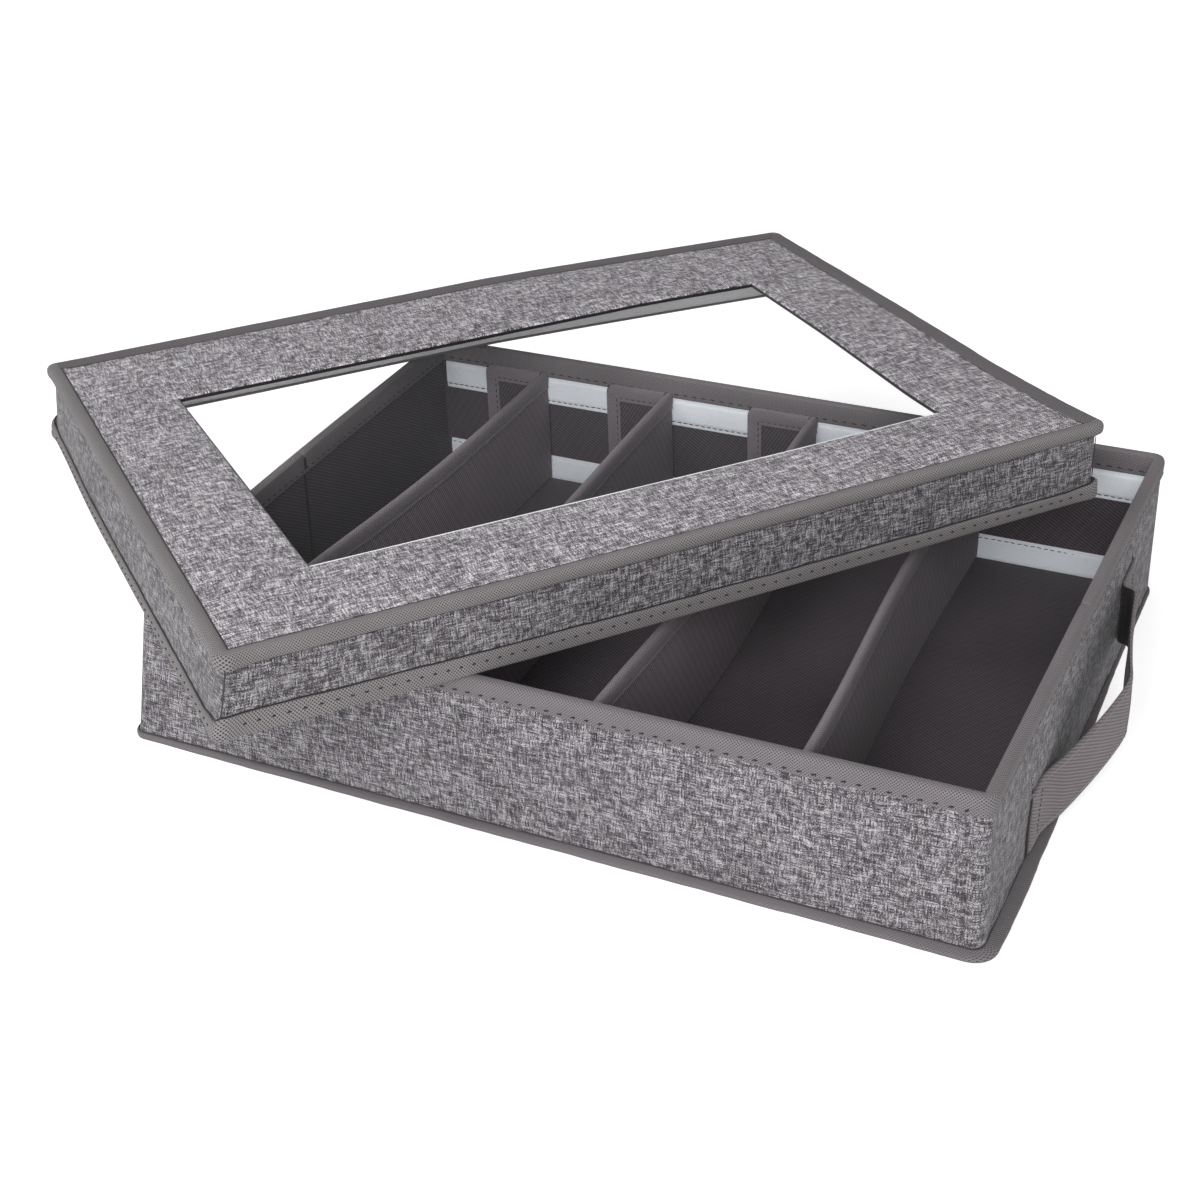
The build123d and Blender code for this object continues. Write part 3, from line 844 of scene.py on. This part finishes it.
def makeFlap(number, end, x, sign):
    # the flap lies against a long wall, to the left of its divider, with tape on its two free edges
    right = x - flapSize["gap"]
    left = right - flapSize["length"]
    low, high, corner, thick = divider["bottom"], divider["top"], flapSize["corner"], flapSize["thick"]
    tapeLeft, tapeTop = left + flapSize["endTape"], high - flapSize["topTape"]
    base = sign * flapSize["wall"]
    body = f"divider_{number}_{end}_flap"

    def put(px, pz, h):
        return (px, base - sign * h, pz)

    turns = np.linspace(0, 0.5 * math.pi, 6)
    outer = [(px, high) for px in np.linspace(right, left + corner, 10)]
    outer += [(left + corner - corner * math.sin(a), high - corner + corner * math.cos(a)) for a in turns[1:]]
    outer += [(left, pz) for pz in np.linspace(high - corner, low, 16)[1:]]
    inner = [(px, tapeTop) for px in np.linspace(right, tapeLeft, 10)]
    inner += [(tapeLeft, tapeTop)] * 5
    inner += [(tapeLeft, pz) for pz in np.linspace(tapeTop, low, 16)[1:]]
    outer, inner = np.array(outer), np.array(inner)
    along = runLengths(outer)
    wobble = 0.12 * np.sin(along / 5.0 + number)
    profile = [(1.0, thick - 0.1), (0.99, thick + 0.42), (0.8, thick + 0.3), (0.72, thick + 0.5),
               (0.3, thick + 0.62), (0.06, thick + 0.35), (0.0, 0.9), (0.0, 0.3), (0.1, 0.02), (0.4, 0.02)]
    rows = []
    for share, h in profile:
        flat = outer * (1 - share) + inner * share
        rows.append([put(px, pz, h + (w if h > thick + 0.25 else 0)) for (px, pz), w in zip(flat, wobble)])
    tape = sheet(f"flapTape_{number}_{end}", rows[::sign], along, closed=False, shape=slumpSliding)
    dress(tape, panelTapeFinish, "divider_fabric", body, body)

    # the cloth, out along its face and back behind, folded together at the divider
    xs = [left + 1.0, *np.linspace(left + 4, right - 1.5, 9), right - 0.5, right - 0.05, right + 0.25]
    zs = np.linspace(low, high - 1.0, 15)
    turns = [max(0.0, px - (right - 1.5)) / 1.75 for px in xs]
    rows = []
    for px, turn in zip(xs, turns):
        h, wave = thick * (1 - 0.5 * turn * turn), 0.12 * (px < right)
        rows.append([put(px, pz, h + wave * math.sin(px / 4 + pz / 15 + number)) for pz in zs])
    rows += [[put(px, pz, 0.02 + 0.55 * turn**2) for pz in zs] for px, turn in zip(xs[::-1], turns[::-1])]
    cloth = sheet(f"flapCloth_{number}_{end}", rows[::-sign], zs - low, closed=False, shape=slumpSliding)
    dress(cloth, liningFinish, "divider_fabric", body)

    patches = []
    for level, (bottom, top) in hooks["levels"].items():
        reach, half = hooks["length"] / 2, (top - bottom) / 2
        middleX, middleZ = right - hooks["inset"] - reach, (bottom + top) / 2
        stations = [
            ((middleX + s, base + sign * 0.02, middleZ), (0, sign, 0), (0, 0, 1))
            for s in np.linspace(-reach, reach, 8)
        ]
        edge = [(0.0, half), (0.55, half - 0.1), (0.68, half - 0.5)]
        loop = edge + [(a, -b) for a, b in reversed(edge)]
        patches.append(sweep(f"hooks_{number}_{end}_{level}", stations, loop, shape=slumpSliding))
    dress(patches[0], hookFinish, "hook_tape", body, f"divider_{number}_{end}_hooks")
    dress(patches[1], hookFinish, "hook_tape", body)

    seams = []
    middles = outer * 0.22 + inner * 0.78
    lengths = runLengths(middles)
    for s in np.arange(1.5, lengths[-1] - 1, flapSize["stitch"]):
        j = int(np.searchsorted(lengths, s)) - 1
        t = (s - lengths[j]) / max(1e-6, lengths[j + 1] - lengths[j])
        px, pz = middles[j] * (1 - t) + middles[j + 1] * t
        way = middles[j + 1] - middles[j]
        seams.append((put(px, pz, thick + 0.38), (way[0], 0, way[1]), (0, -sign, 0), 1.0, 0.26))
    dress(stitches(f"flapStitches_{number}_{end}", seams, slumpSliding), darkThreadAndShade, "divider_fabric", body)


for number, shares in enumerate(divider["shares"], start=1):
    places = [share * divider["insideLength"] for share in shares]
    stations = dividerLine(places)
    body = f"divider_{number}"
    half, low, high = divider["half"], divider["bottom"], divider["top"]
    face = [(0.6, low)]
    for share in np.linspace(0, 1, 13):
        face.append((half * (1 + 0.35 * math.sin(math.pi * share)), low + 0.6 + (high - 3 - low) * share))
    loop = face + [(-a, b) for a, b in reversed(face)]
    panel = sweep(f"panelCloth_{number}", stations, loop, shape=slumpSliding)
    dress(panel, panelFinish, "divider_fabric", body, f"{body}_panel")
    drop = high - divider["tapeDrop"]
    side = softLine([
        (half, drop + 0.3), (half + 0.75, drop), (half + 0.85, drop + 0.9), (half + 0.5, drop + 1.7),
        (half + 0.85, drop + 3.0), (half + 0.95, high - 3.5), (half + 0.7, high - 1.2), (0.9, high + 0.05),
        (0.0, high + 0.15),
    ], 0.7, 2)
    wave = [0.22 * math.sin(k / 2.1) + 0.12 * math.sin(k / 0.9 + number) for k in range(len(stations))]
    outline = list(side) + [(-a, b) for a, b in reversed(side[:-1])]
    loops = [[(a, b + rise * min(1, max(0, (high - 3 - b) / 4))) for a, b in outline] for rise in wave]
    tape = sweep(f"panelTape_{number}", stations, loops, shape=slumpSliding)
    dress(tape, panelTapeFinish, "divider_fabric", body, f"{body}_top_binding")
    seams = []
    for k in range(1, len(stations) - 1):
        place, out, up = (np.array(v, float) for v in stations[k])
        step = np.array(stations[k + 1][0]) - place
        for sideWay in (1, -1):
            middle = place + step * 0.5 + out * sideWay * (half + 0.62) + up * (drop + 1.75 + wave[k])
            seams.append((middle, step, out * sideWay, 1.5, 0.25))
    dress(stitches(f"panelStitches_{number}", seams, slumpSliding), greyThread, "divider_fabric", body)
    makeFlap(number, "back", places[0], 1)
    makeFlap(number, "front", places[2], -1)
print("dividers made")


# webbing handles, each sewn through two slits of a short wall
strap = {
    "hinge": 58.0, "standOff": 206.2, "middle": 29.0, "width": 30.0, "gauge": 1.6,
    "rise": {"left": 0.03, "right": 0.13},
    # plan of half a strap, from its sewn end to its middle
    "near": [
        (200.4, 88.6), (201.5, 86.4), (201.7, 81), (202.0, 74), (203.9, 66), (206.9, 57), (211.6, 41),
        (216.2, 23), (219.4, 7), (220.2, -1),
    ],
    "far": [
        (200.4, 88.6), (201.5, 86.4), (201.7, 80), (201.8, 72), (202.0, 65), (203.4, 61.6), (206.4, 60.6),
        (208.6, 58.2), (209.8, 52), (211.3, 42), (213.6, 29), (216.7, 15), (219.3, 5), (220.2, -1),
    ],
    # a slanting line of dark thread on each fixed end: (y, height over the strap's middle) of its two ends
    "seam": ((78.5, 12.6), (82.0, -8.0)), "seamX": 203.2, "seamStitches": 9,
}
slit = {
    "x": 200.8, "y": 88.0, "below": 17.5, "length": 36, "gape": 1.7, "bow": 1.1, "bend": 3.6, "slant": 2.2,
}


def curveThrough(points, step):
    # a smooth line through points in a plane
    points = np.array(points, float)
    padded = np.vstack([2 * points[0] - points[1], points, 2 * points[-1] - points[-2]])
    line = []
    for a, b, c, d in zip(padded, padded[1:], padded[2:], padded[3:]):
        count = max(2, math.ceil(np.linalg.norm(c - b) / step))
        for k in range(count):
            s = k / count
            bend, twist = 2 * a - 5 * b + 4 * c - d, 3 * b - a - 3 * c + d
            line.append(0.5 * (2 * b + (c - a) * s + bend * s * s + twist * s**3))
    line.append(points[-1])
    return np.array(line)


def strapSection():
    # thicker in the middle of its outer face than at its edges
    half, top = strap["gauge"] / 2, strap["width"] / 2
    levels = np.linspace(-top + 0.7, top - 0.7, 12)
    edge = [(half * 0.5, top), (-half * 0.5, top)]
    face = [(half * (1 + 0.5 * math.cos(math.pi * z / top / 2)) - 0.1, z) for z in levels]
    back = [(-half * (1 - 0.2 * math.cos(math.pi * z / top / 2)), z) for z in levels[::-1]]
    return face + edge + back + [(-a, -b) for a, b in edge]


for name, sign in (("left", -1), ("right", 1)):
    for half, way in (("near", -1), ("far", 1)):
        line = curveThrough(strap[half], 1.5)
        ys = line[:, 1] * way
        steps = np.gradient(line * [1, way], axis=0)
        steps /= np.linalg.norm(steps, axis=1)[:, None]
        outs = np.column_stack([-steps[:, 1], steps[:, 0]]) * way
        outs[-1] = (1, 0)
        stations = []
        for (x, _), y, out in zip(line, ys, outs):
            dip = -0.8 * math.cos(0.5 * math.pi * min(1, abs(y) / strap["hinge"]))
            rise = strap["rise"][name] * max(-strap["hinge"], min(strap["hinge"], y))
            middle = strap["middle"] + rise + dip
            stations.append(((sign * x, y, middle), (sign * out[0], out[1], 0.0), (0, 0, 1)))
        webbing = sweep(f"strap_{name}_{half}", stations, strapSection())
        nodes = (f"{name}_handle_ends", f"{name}_handle_strap") if half == "near" else ()
        dress(webbing, webbingFinish, "webbing", None, *nodes)
        webbing.data.materials.append(webbingShadedFace)
        # faces turned in towards the wall take the near-black copy: painted shade on the strap's inner side
        for face in webbing.data.polygons:
            nearest = int(np.argmin(np.abs(ys - face.center.y / mm)))
            inwards = face.normal.x * sign * outs[nearest][0] + face.normal.y * outs[nearest][1]
            face.material_index = int(inwards < -0.5)
        seams = []
        for k in range(1, len(stations) - 1):
            place, out, up = (np.array(v, float) for v in stations[k])
            step = np.array(stations[k + 1][0]) - place
            for offset in (-1, 1):
                edge = place + up * offset * (strap["width"] / 2 - 2.6) + out * (strap["gauge"] / 2 + 0.12)
                seams.append((edge + step * 0.5, step, out, np.linalg.norm(step) * 0.46, 0.22))
        edgeStitches = dress(stitches(f"strapStitches_{name}_{half}", seams), paleThread, "webbing", None)
        # points a few millimetres either side of the strap's hinge, which nothing below uses
        middle, x = strap["middle"], sign * strap["standOff"]
        fixed, free = ((x * mm, way * (strap["hinge"] + past) * mm, middle * mm) for past in (5, -3))
        for piece in (webbing, edgeStitches):
            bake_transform(piece)
        seams = []
        middle = middle + strap["rise"][name] * strap["hinge"] * way
        start, end = (np.array([way * y, middle + z]) for y, z in strap["seam"])
        for k in range(strap["seamStitches"]):
            at = start + (end - start) * (k + 0.5) / strap["seamStitches"]
            seams.append(((sign * strap["seamX"], *at), (0, *(end - start)), (sign, 0, 0), 0.8, 0.24))
        dress(stitches(f"strapSeam_{name}_{half}", seams), darkThreadAndShade, "webbing", "root")
        # the slit that the webbing goes through, as a near-black sheet: painted shade in the hole
        rows = []
        lip = [(-1.4, -1.0), (0.0, -0.7), (0.1, 0.0), (0.0, 0.7), (-1.4, 1.0)]
        for share in np.linspace(0, 1, 17):
            z = middle - slit["below"] + slit["length"] * share
            gape = slit["gape"] * math.sin(math.pi * min(1, (share + 0.025) / 1.05)) ** 0.5
            x = sign * (slit["x"] + slit["bow"] * (1 - abs(2 * share - 1) ** 4))
            y = way * (slit["y"] + slit["bend"] * math.sin(math.pi * share) - slit["slant"] * share)
            rows.append([(x + sign * out, y + gape * across, z) for out, across in lip])
        piece = sheet(f"slit_{name}_{half}", rows, np.arange(len(lip)) * 0.5, closed=False)
        dress(piece, darkThreadAndShade, "outer_fabric", "root")
print("handles made")


# lid, in its own place and then laid askew on the rim
lid = {
    "length": 416.4, "width": 310.4, "corner": 4.0, "turn": 49.0, "centre": (-70.0, 30.0), "rest": 76.3,
    "windowLength": 308.0, "windowWidth": 188.0, "windowMiddle": -8.0, "crown": 0.7, "tapeReach": 4.2,
}
lidShape = {
    # how far the far corner hangs down and the right one rides up
    "far": 6.5, "right": 6.5,
    # how far the left skirt's foot stands out at its front and its back
    "flare": 6.5, "flareBack": 4.0,
    # how far the near left corner and the right end are pulled in
    "pull": 6.5, "pullRight": 3.0,
    # the line between the two walls that carry the right corner, and how far the corner is beyond it
    "lineFrom": (-104, -156), "lineWay": (310, 103), "lineLength": 326.7, "beyond": 97.7,
}
lidTurn = math.radians(lid["turn"])
lidMiddle = Vector((*lid["centre"], lid["rest"]))
lidPlace = np.array(Matrix.Translation(lidMiddle * mm) @ Matrix.Rotation(lidTurn, 4, "Z"))


def pullLid(points):
    # in the lid's own frame, its left skirt stands outwards at its foot and its soft ends are pulled askew
    x, y, z = points.T
    flare = lidShape["flare"] + (lidShape["flareBack"] - lidShape["flare"]) * ease(y, 40, 156)
    dx = -flare * np.clip(1 - z / 30, 0, 1) * (1 - ease(x, -200, -160))
    dx = dx + lidShape["pull"] * (155 - y) / 310 * (1 - ease(x, -206, -165))
    # the window's left edge slants
    dx = dx + (4 - 9 * np.clip((y + 102) / 188, 0, 1)) * ease(x, -204, -155) * (1 - ease(x, -152, -20))
    dx = dx - lidShape["pullRight"] * ease(x, 165, 206)
    return np.column_stack([x + dx, y, z])


def sagLid(points):
    # the lid's corners hang down, or ride up, beyond the walls that carry them
    x, y, z = points.T
    fromX, fromY = x - lid["centre"][0], y - lid["centre"][1]
    u = fromX * math.cos(lidTurn) + fromY * math.sin(lidTurn)
    v = fromY * math.cos(lidTurn) - fromX * math.sin(lidTurn)
    (fromU, fromV), (wayU, wayV) = lidShape["lineFrom"], lidShape["lineWay"]
    right = ((u - fromU) * wayV - (v - fromV) * wayU) / lidShape["lineLength"]
    z = z - lidShape["far"] * ((y - box["width"] / 2).clip(0) / 136) ** 1.2
    z = z + lidShape["right"] * (right.clip(0) / lidShape["beyond"]) ** 1.4
    return np.column_stack([x, y, z])


def layLid(points):
    return sagLid(pullLid(points) @ lidPlace[:3, :3].T + lidPlace[:3, 3] / mm)


lidRing = Ring(lid["length"], lid["width"], lid["corner"], 3.4, corner=8)
# these rings have as many points on each side as one another, so that a skin can run from one to the next
counts = (110, 84)
tapeReach = 2 * lid["tapeReach"]
edgeRing = Ring(lid["length"] - tapeReach, lid["width"] - tapeReach, 2.0, counts=counts, corner=4)
holeRing = Ring(lid["windowLength"], lid["windowWidth"], 0.8, counts=counts, corner=4)
holeRing.points[:, 1] += lid["windowMiddle"]

outerRow, holeRow = edgeRing.row(0.0, 0.0), holeRing.row(0.0, 0.0)
rows = []
for share in (0.0, 0.03, 0.08, 0.16, 0.28, 0.42, 0.56, 0.7, 0.82, 0.91, 0.96, 0.985, 1.0):
    row = outerRow * (1 - share) + holeRow * share
    crown = lid["crown"] * math.sin(math.pi * share) ** 0.6 if 0 < share < 1 else 0.0
    row[:, 2] = 36.95 + crown * (1 + 0.3 * edgeRing.ripple(90, share))
    row[:, 2] += 0.1 * edgeRing.ripple(16, 2.0) * bell(share, 0.1)
    rows.append(row)
rows[-1][:, 2] = 36.7
for out, up in ((-0.35, 36.3), (-0.4, 35.3), (0.0, 34.95), (2.0, 34.85)):
    rows.append(holeRing.row(out, up))
topCloth = sheet(
    "lidTopCloth", rows, edgeRing.along, flatMap=lambda p: (p[0], p[1] + 37 - p[2]), shape=layLid,
)
dress(topCloth, litLidLinenFinish, "outer_fabric", "lid", "lid_top_cover")

# a near-black strip inside the cut edge, painted shade on the board's edge, tucked away along the front where
# the pale lining shows instead
lipOut = np.where(holeRing.points[:, 1] < lid["windowMiddle"] - lid["windowWidth"] / 2 + 0.5, 1.0, -0.55)
lipRows = [holeRing.row(lipOut, z) for z in (34.8, 35.4, 36.1, 36.55)]
lip = sheet("windowLipShade", lipRows[::-1], holeRing.along, shape=layLid)
dress(lip, darkThreadAndShade, "binding_tape", "lid")

# the boards of the top and the skirt under one pale lining, which is what shows from below
innerRing = Ring(lid["length"] - 4.8, lid["width"] - 4.8, 3.4, counts=counts, corner=4)
shelfRing = Ring(lid["windowLength"] - 0.2, lid["windowWidth"] - 0.2, 0.6, counts=counts, corner=4)
shelfRing.points[:, 1] += np.where(shelfRing.sides == "front", 1.4, 0.0) + lid["windowMiddle"]
rows = [innerRing.row(0.2, z) for z in np.linspace(1.4, 34.6, 9)]
underside, shelf = innerRing.row(-0.3, 34.8), shelfRing.row(0.0, 34.85)
rows += [underside * (1 - s) + shelf * s for s in (0.0, 0.02, 0.25, 0.5, 0.75, 0.97, 1.0)]
upper, corner = shelfRing.row(0.0, 36.3), innerRing.row(0.8, 36.3)
rows += [upper * (1 - s) + corner * s for s in (0.0, 0.5, 1.0)]
rows += [innerRing.row(0.8, z) for z in np.linspace(34.0, 1.4, 5)]
inside = sheet("lidInside", rows, innerRing.along, shape=layLid)
dress(inside, lidInsideFinish, "board", "lid", "lid_top_board", *[f"lid_skirt_board_{s}" for s in sides4])

# the skirt's cloth bellies out between its tapes and is drawn in at the corners
lidCorner = bell(lidRing.fromCorner, 9.0)
rows = [lidRing.row(-0.5, 1.0)]
skirtLevels = (
    1.0, 3.0, 5.0, 6.5, 8.0, 9.6, 10.8, 12.2, 14.5, 17.0, 19.5, 22.0, 24.0, 26.0, 28.0, 30.0, 31.5, 33.0,
    35.5,
)
for z in skirtLevels:
    belly = 0.6 * math.sin(math.pi * min(1, max(0, (z - 5) / 28)))
    out = -0.35 + belly * (1 - lidCorner) - 1.2 * lidCorner * (1 if 9 < z < 31 else 0.6)
    pucker = bell(z - 10, 3) + bell(z - 31, 3)
    out = out + 0.16 * lidRing.ripple(60, z * 0.05) + 0.16 * lidRing.ripple(12, 1.0) * pucker
    rows.append(lidRing.row(out, z))
skirt = sheet("lidSkirtCloth", rows, lidRing.along, shape=layLid, shift=90.0)
dress(skirt, shadedSkirtLinenFinish, "outer_fabric", "lid", "lid_skirt_cover")

# the rolled tape of the lid's edge is combed along the left, swollen at the corners and low at the near one
pipeRing = Ring(lid["length"], lid["width"], lid["corner"], 1.3, corner=10)
comb = 0.22 * np.sin(pipeRing.along[:-1] * (2 * math.pi / 4.2)) * (pipeRing.sides == "left")
fromNear = np.linalg.norm(pipeRing.points - [-208, -155], axis=1)
bulk = 0.7 * bell(pipeRing.fromCorner, 6.0) + 0.8 * bell(fromNear, 9.0)
puff = 0.2 * pipeRing.ripple(55, 1.0) + 0.1 * pipeRing.ripple(14, 2.0) + bulk + comb
sag = 0.3 * pipeRing.ripple(80, 3.0) - 1.4 * bell(fromNear, 16.0)
# on the back and right sides, the tape lies wider on the top
wide = 1 + softened(np.isin(pipeRing.sides, ("back", "right")) * 0.7, 6)
profile = (
    (-1.2, 33.4, 0, 1), (-0.1, 32.5, 0.3, 1), (0.7, 32.4, 0.6, 1), (1.15, 32.9, 1, 0.9),
    (1.45, 34.0, 1, 0.6), (1.5, 35.4, 1, 0.3), (1.3, 36.6, 1, 0.1), (0.75, 37.5, 0.9, 0),
    (-0.2, 38.0, 0.6, 0), (-1.6, 38.15, 0.4, 0), (-2.9, 38.05, 0.3, 0), (-3.9, 37.75, 0.2, 0),
    (-4.6, 37.3, 0, 0), (-4.85, 36.75, 0, 0), (-4.6, 36.4, 0, 0),
)
rows = [
    pipeRing.row(out * (wide if out < -1.3 else 1) + puff * share, up + sag * drop)
    for out, up, share, drop in profile
]
piping = sheet("lidPiping", rows, pipeRing.along, shape=layLid)
dress(piping, lidTapeFinish, "binding_tape", "lid", "lid_piping")
# the back and right sides take the darker copy of the tape: painted shade
piping.data.materials.append(shadedTapeFinish)
for k, face in enumerate(piping.data.polygons):
    face.material_index = int(pipeRing.sides[k % len(pipeRing.points)] in ("back", "right"))

# the hem tape is wide at the near corner and narrows towards the others
hemRise = {
    "front": ((-208, 208), (10.4, 6.4)), "left": ((-155, 155), (5.2, 5.0)),
    "right": ((-155, 155), (6.6, 9.0)),
}
hemTop = softened(lidRing.spread(hemRise, np.full(len(lidRing.points), 9.4)), 4)
hemWave = 0.25 * lidRing.ripple(70, 4.0) + 0.08 * lidRing.ripple(12, 5.0)
hemBulk = bell(lidRing.fromCorner, 8.0)
hemPuff = hemBulk + 0.04 * lidRing.ripple(55, 1.0)
insideLeg = ((-2.9, 1.6), (-3.4, 1.5), (-3.65, 1.2), (-3.5, 0.7), (-2.8, 0.12), (-1.6, 0.0))
outsideLeg = (
    (0.0, 0.004, 0.5, 0), (0.8, 0.05, 1, 0), (1.15, 0.17, 1, 0), (1.2, 0.36, 1, 0.1), (1.0, 0.58, 0.9, 0.3),
    (1.15, 0.76, 0.9, 0.6), (1.0, 0.92, 0.8, 1), (0.6, 1.0, 0.6, 1), (-0.1, 1.01, 0.2, 1), (-0.5, 0.97, 0, 1),
)
hemStitchRow = 10
rows = [lidRing.row(out, up) for out, up in insideLeg]
rows += [
    lidRing.row(out + hemPuff * share, hemTop * up + hemWave * drop) for out, up, share, drop in outsideLeg
]
hem = sheet("lidHem", rows, lidRing.along, shape=layLid)
dress(hem, lidTapeFinish, "binding_tape", "lid", "lid_hem")
seams = ringStitches(lidRing, rows[hemStitchRow], 1, 5.9, 0.85, 0.46, 0.3, 8.0)
dress(stitches("hemStitches", seams, layLid), darkThreadAndShade, "binding_tape", "lid")

cornerSeam = {"x": 206.4, "y": 153.4, "z": 20.5, "reach": 11.5, "girth": 0.4}
seams = [
    ((x, y, cornerSeam["z"]), (0, 0, 1), (x, y, 0), cornerSeam["reach"], cornerSeam["girth"])
    for x in (-cornerSeam["x"], cornerSeam["x"]) for y in (-cornerSeam["y"], cornerSeam["y"])
]
dress(stitches("lidCornerSeams", seams, layLid), seamThreadAndShade, "outer_fabric", "lid")
# the dark lines of the hem, the piping and the top seam: thread and painted shade in each seam's gap
for name, ring, out, up, girth in (
    ("hemSeam", lidRing, 0.05 + hemBulk * 0.1, hemTop + 0.35 + hemWave, 0.4),
    ("pipingSeam", pipeRing, 0.15, 32.15 + sag, 0.3),
    ("topSeam", pipeRing, -4.95 * wide, 37.2, 0.26),
):
    seamLineAndShade(name, ring, out, up, girth, darkThreadAndShade, "lid", layLid)

window = {"reachX": 161, "reachY": 101, "level": 34.72, "sag": 0.25}
filmXs = np.linspace(-window["reachX"], window["reachX"], 54)
filmRows = []
for y in np.linspace(-window["reachY"], window["reachY"], 36):
    sags = window["sag"] * (1 - (filmXs / window["reachX"]) ** 2) * (1 - (y / window["reachY"]) ** 2)
    levels = window["level"] + 0.12 * np.sin(filmXs / 31 + y / 43) - sags
    filmRows.append([(x, y + lid["windowMiddle"], z) for x, z in zip(filmXs, levels)])
film = sheet("windowFilm", filmRows, filmXs, closed=False, flatMap=lambda p: (p[0], p[1]), shape=layLid)
dress(film, filmFinish, "window_film", "lid", "lid_window")
print("lid dressed")

# the boards that stay as they are
for name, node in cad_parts.items():
    if "board" in name:
        node.data.materials.clear()
        node.data.materials.append(boardFinish)


# stage
def makeFloor():
    shader = Shader("floorPaper")
    place = shader.node("ShaderNodeTexCoord", output=3)
    grain = shader.node("ShaderNodeTexNoise", {}, {"Vector": place, "Scale": 40.0, "Detail": 2.0})
    paper = shader.tint((0.82, 0.82, 0.82), 0.97 + grain * 0.05)
    seen = shader.node("ShaderNodeLightPath", output=0)
    mirrored = shader.node("ShaderNodeLightPath", output=3)
    through = shader.node("ShaderNodeLightPath", output=6)
    direct = seen.most(mirrored).most(through)
    surface = shader.node("ShaderNodeBsdfPrincipled", values={
        "Base Color": paper, "Roughness": 0.95,
        "Emission Color": (1, 1, 1, 1), "Emission Strength": direct * 0.62,
    })
    shader.node("ShaderNodeOutputMaterial", values={"Surface": surface})
    return shader.owner


floorMesh = bpy.data.meshes.new("floor")
floorMesh.from_pydata([(-6, -4, 0), (6, -4, 0), (6, 10, 0), (-6, 10, 0)], [], [(0, 1, 2, 3)])
floor = bpy.data.objects.new("floor", floorMesh)
floor.location.z = -0.0002
bpy.context.scene.collection.objects.link(floor)
floor.data.materials.append(makeFloor())

# the world lights the case softly, and the camera sees it white
world = Shader("studio", bpy.data.worlds.new("studio"))
bpy.context.scene.world = world.owner
seen = world.node("ShaderNodeLightPath")
soft = world.node("ShaderNodeBackground", values={"Color": (1.0, 0.995, 1.0, 1), "Strength": 0.26})
white = world.node("ShaderNodeBackground", values={"Strength": 1.0})
mix = world.node("ShaderNodeMixShader", values=[seen, soft, white])
world.node("ShaderNodeOutputWorld", values={"Surface": mix})

lamps = {
    "key": {"at": (-0.9, -0.5, 1.9), "towards": (0.0, 0.0, 0.05), "size": 1.3, "power": 14.0},
    "front": {"at": (0.45, -1.7, 1.15), "towards": (0.0, 0.0, 0.05), "size": 1.2, "power": 33.0},
}
for name, lamp in lamps.items():
    data = bpy.data.lights.new(name, "AREA")
    data.size = lamp["size"]
    data.energy = lamp["power"]
    made = bpy.data.objects.new(name, data)
    made.location = lamp["at"]
    aim = Vector(lamp["towards"]) - Vector(lamp["at"])
    made.rotation_euler = aim.to_track_quat("-Z", "Y").to_euler()
    bpy.context.scene.collection.objects.link(made)

view = {
    "at": (0.33998, -0.75056, 0.52852), "degrees": (59.04, 2.0664, 25.1414), "lens": 60.936, "sensor": 36.0,
}
eye = bpy.data.cameras.new("camera")
eye.lens = view["lens"]
eye.sensor_width = view["sensor"]
camera = bpy.data.objects.new("camera", eye)
camera.location = view["at"]
camera.rotation_euler = [math.radians(angle) for angle in view["degrees"]]
bpy.context.scene.collection.objects.link(camera)
bpy.context.scene.camera = camera
bpy.context.scene.view_settings.view_transform = "Standard"

print("stage set")
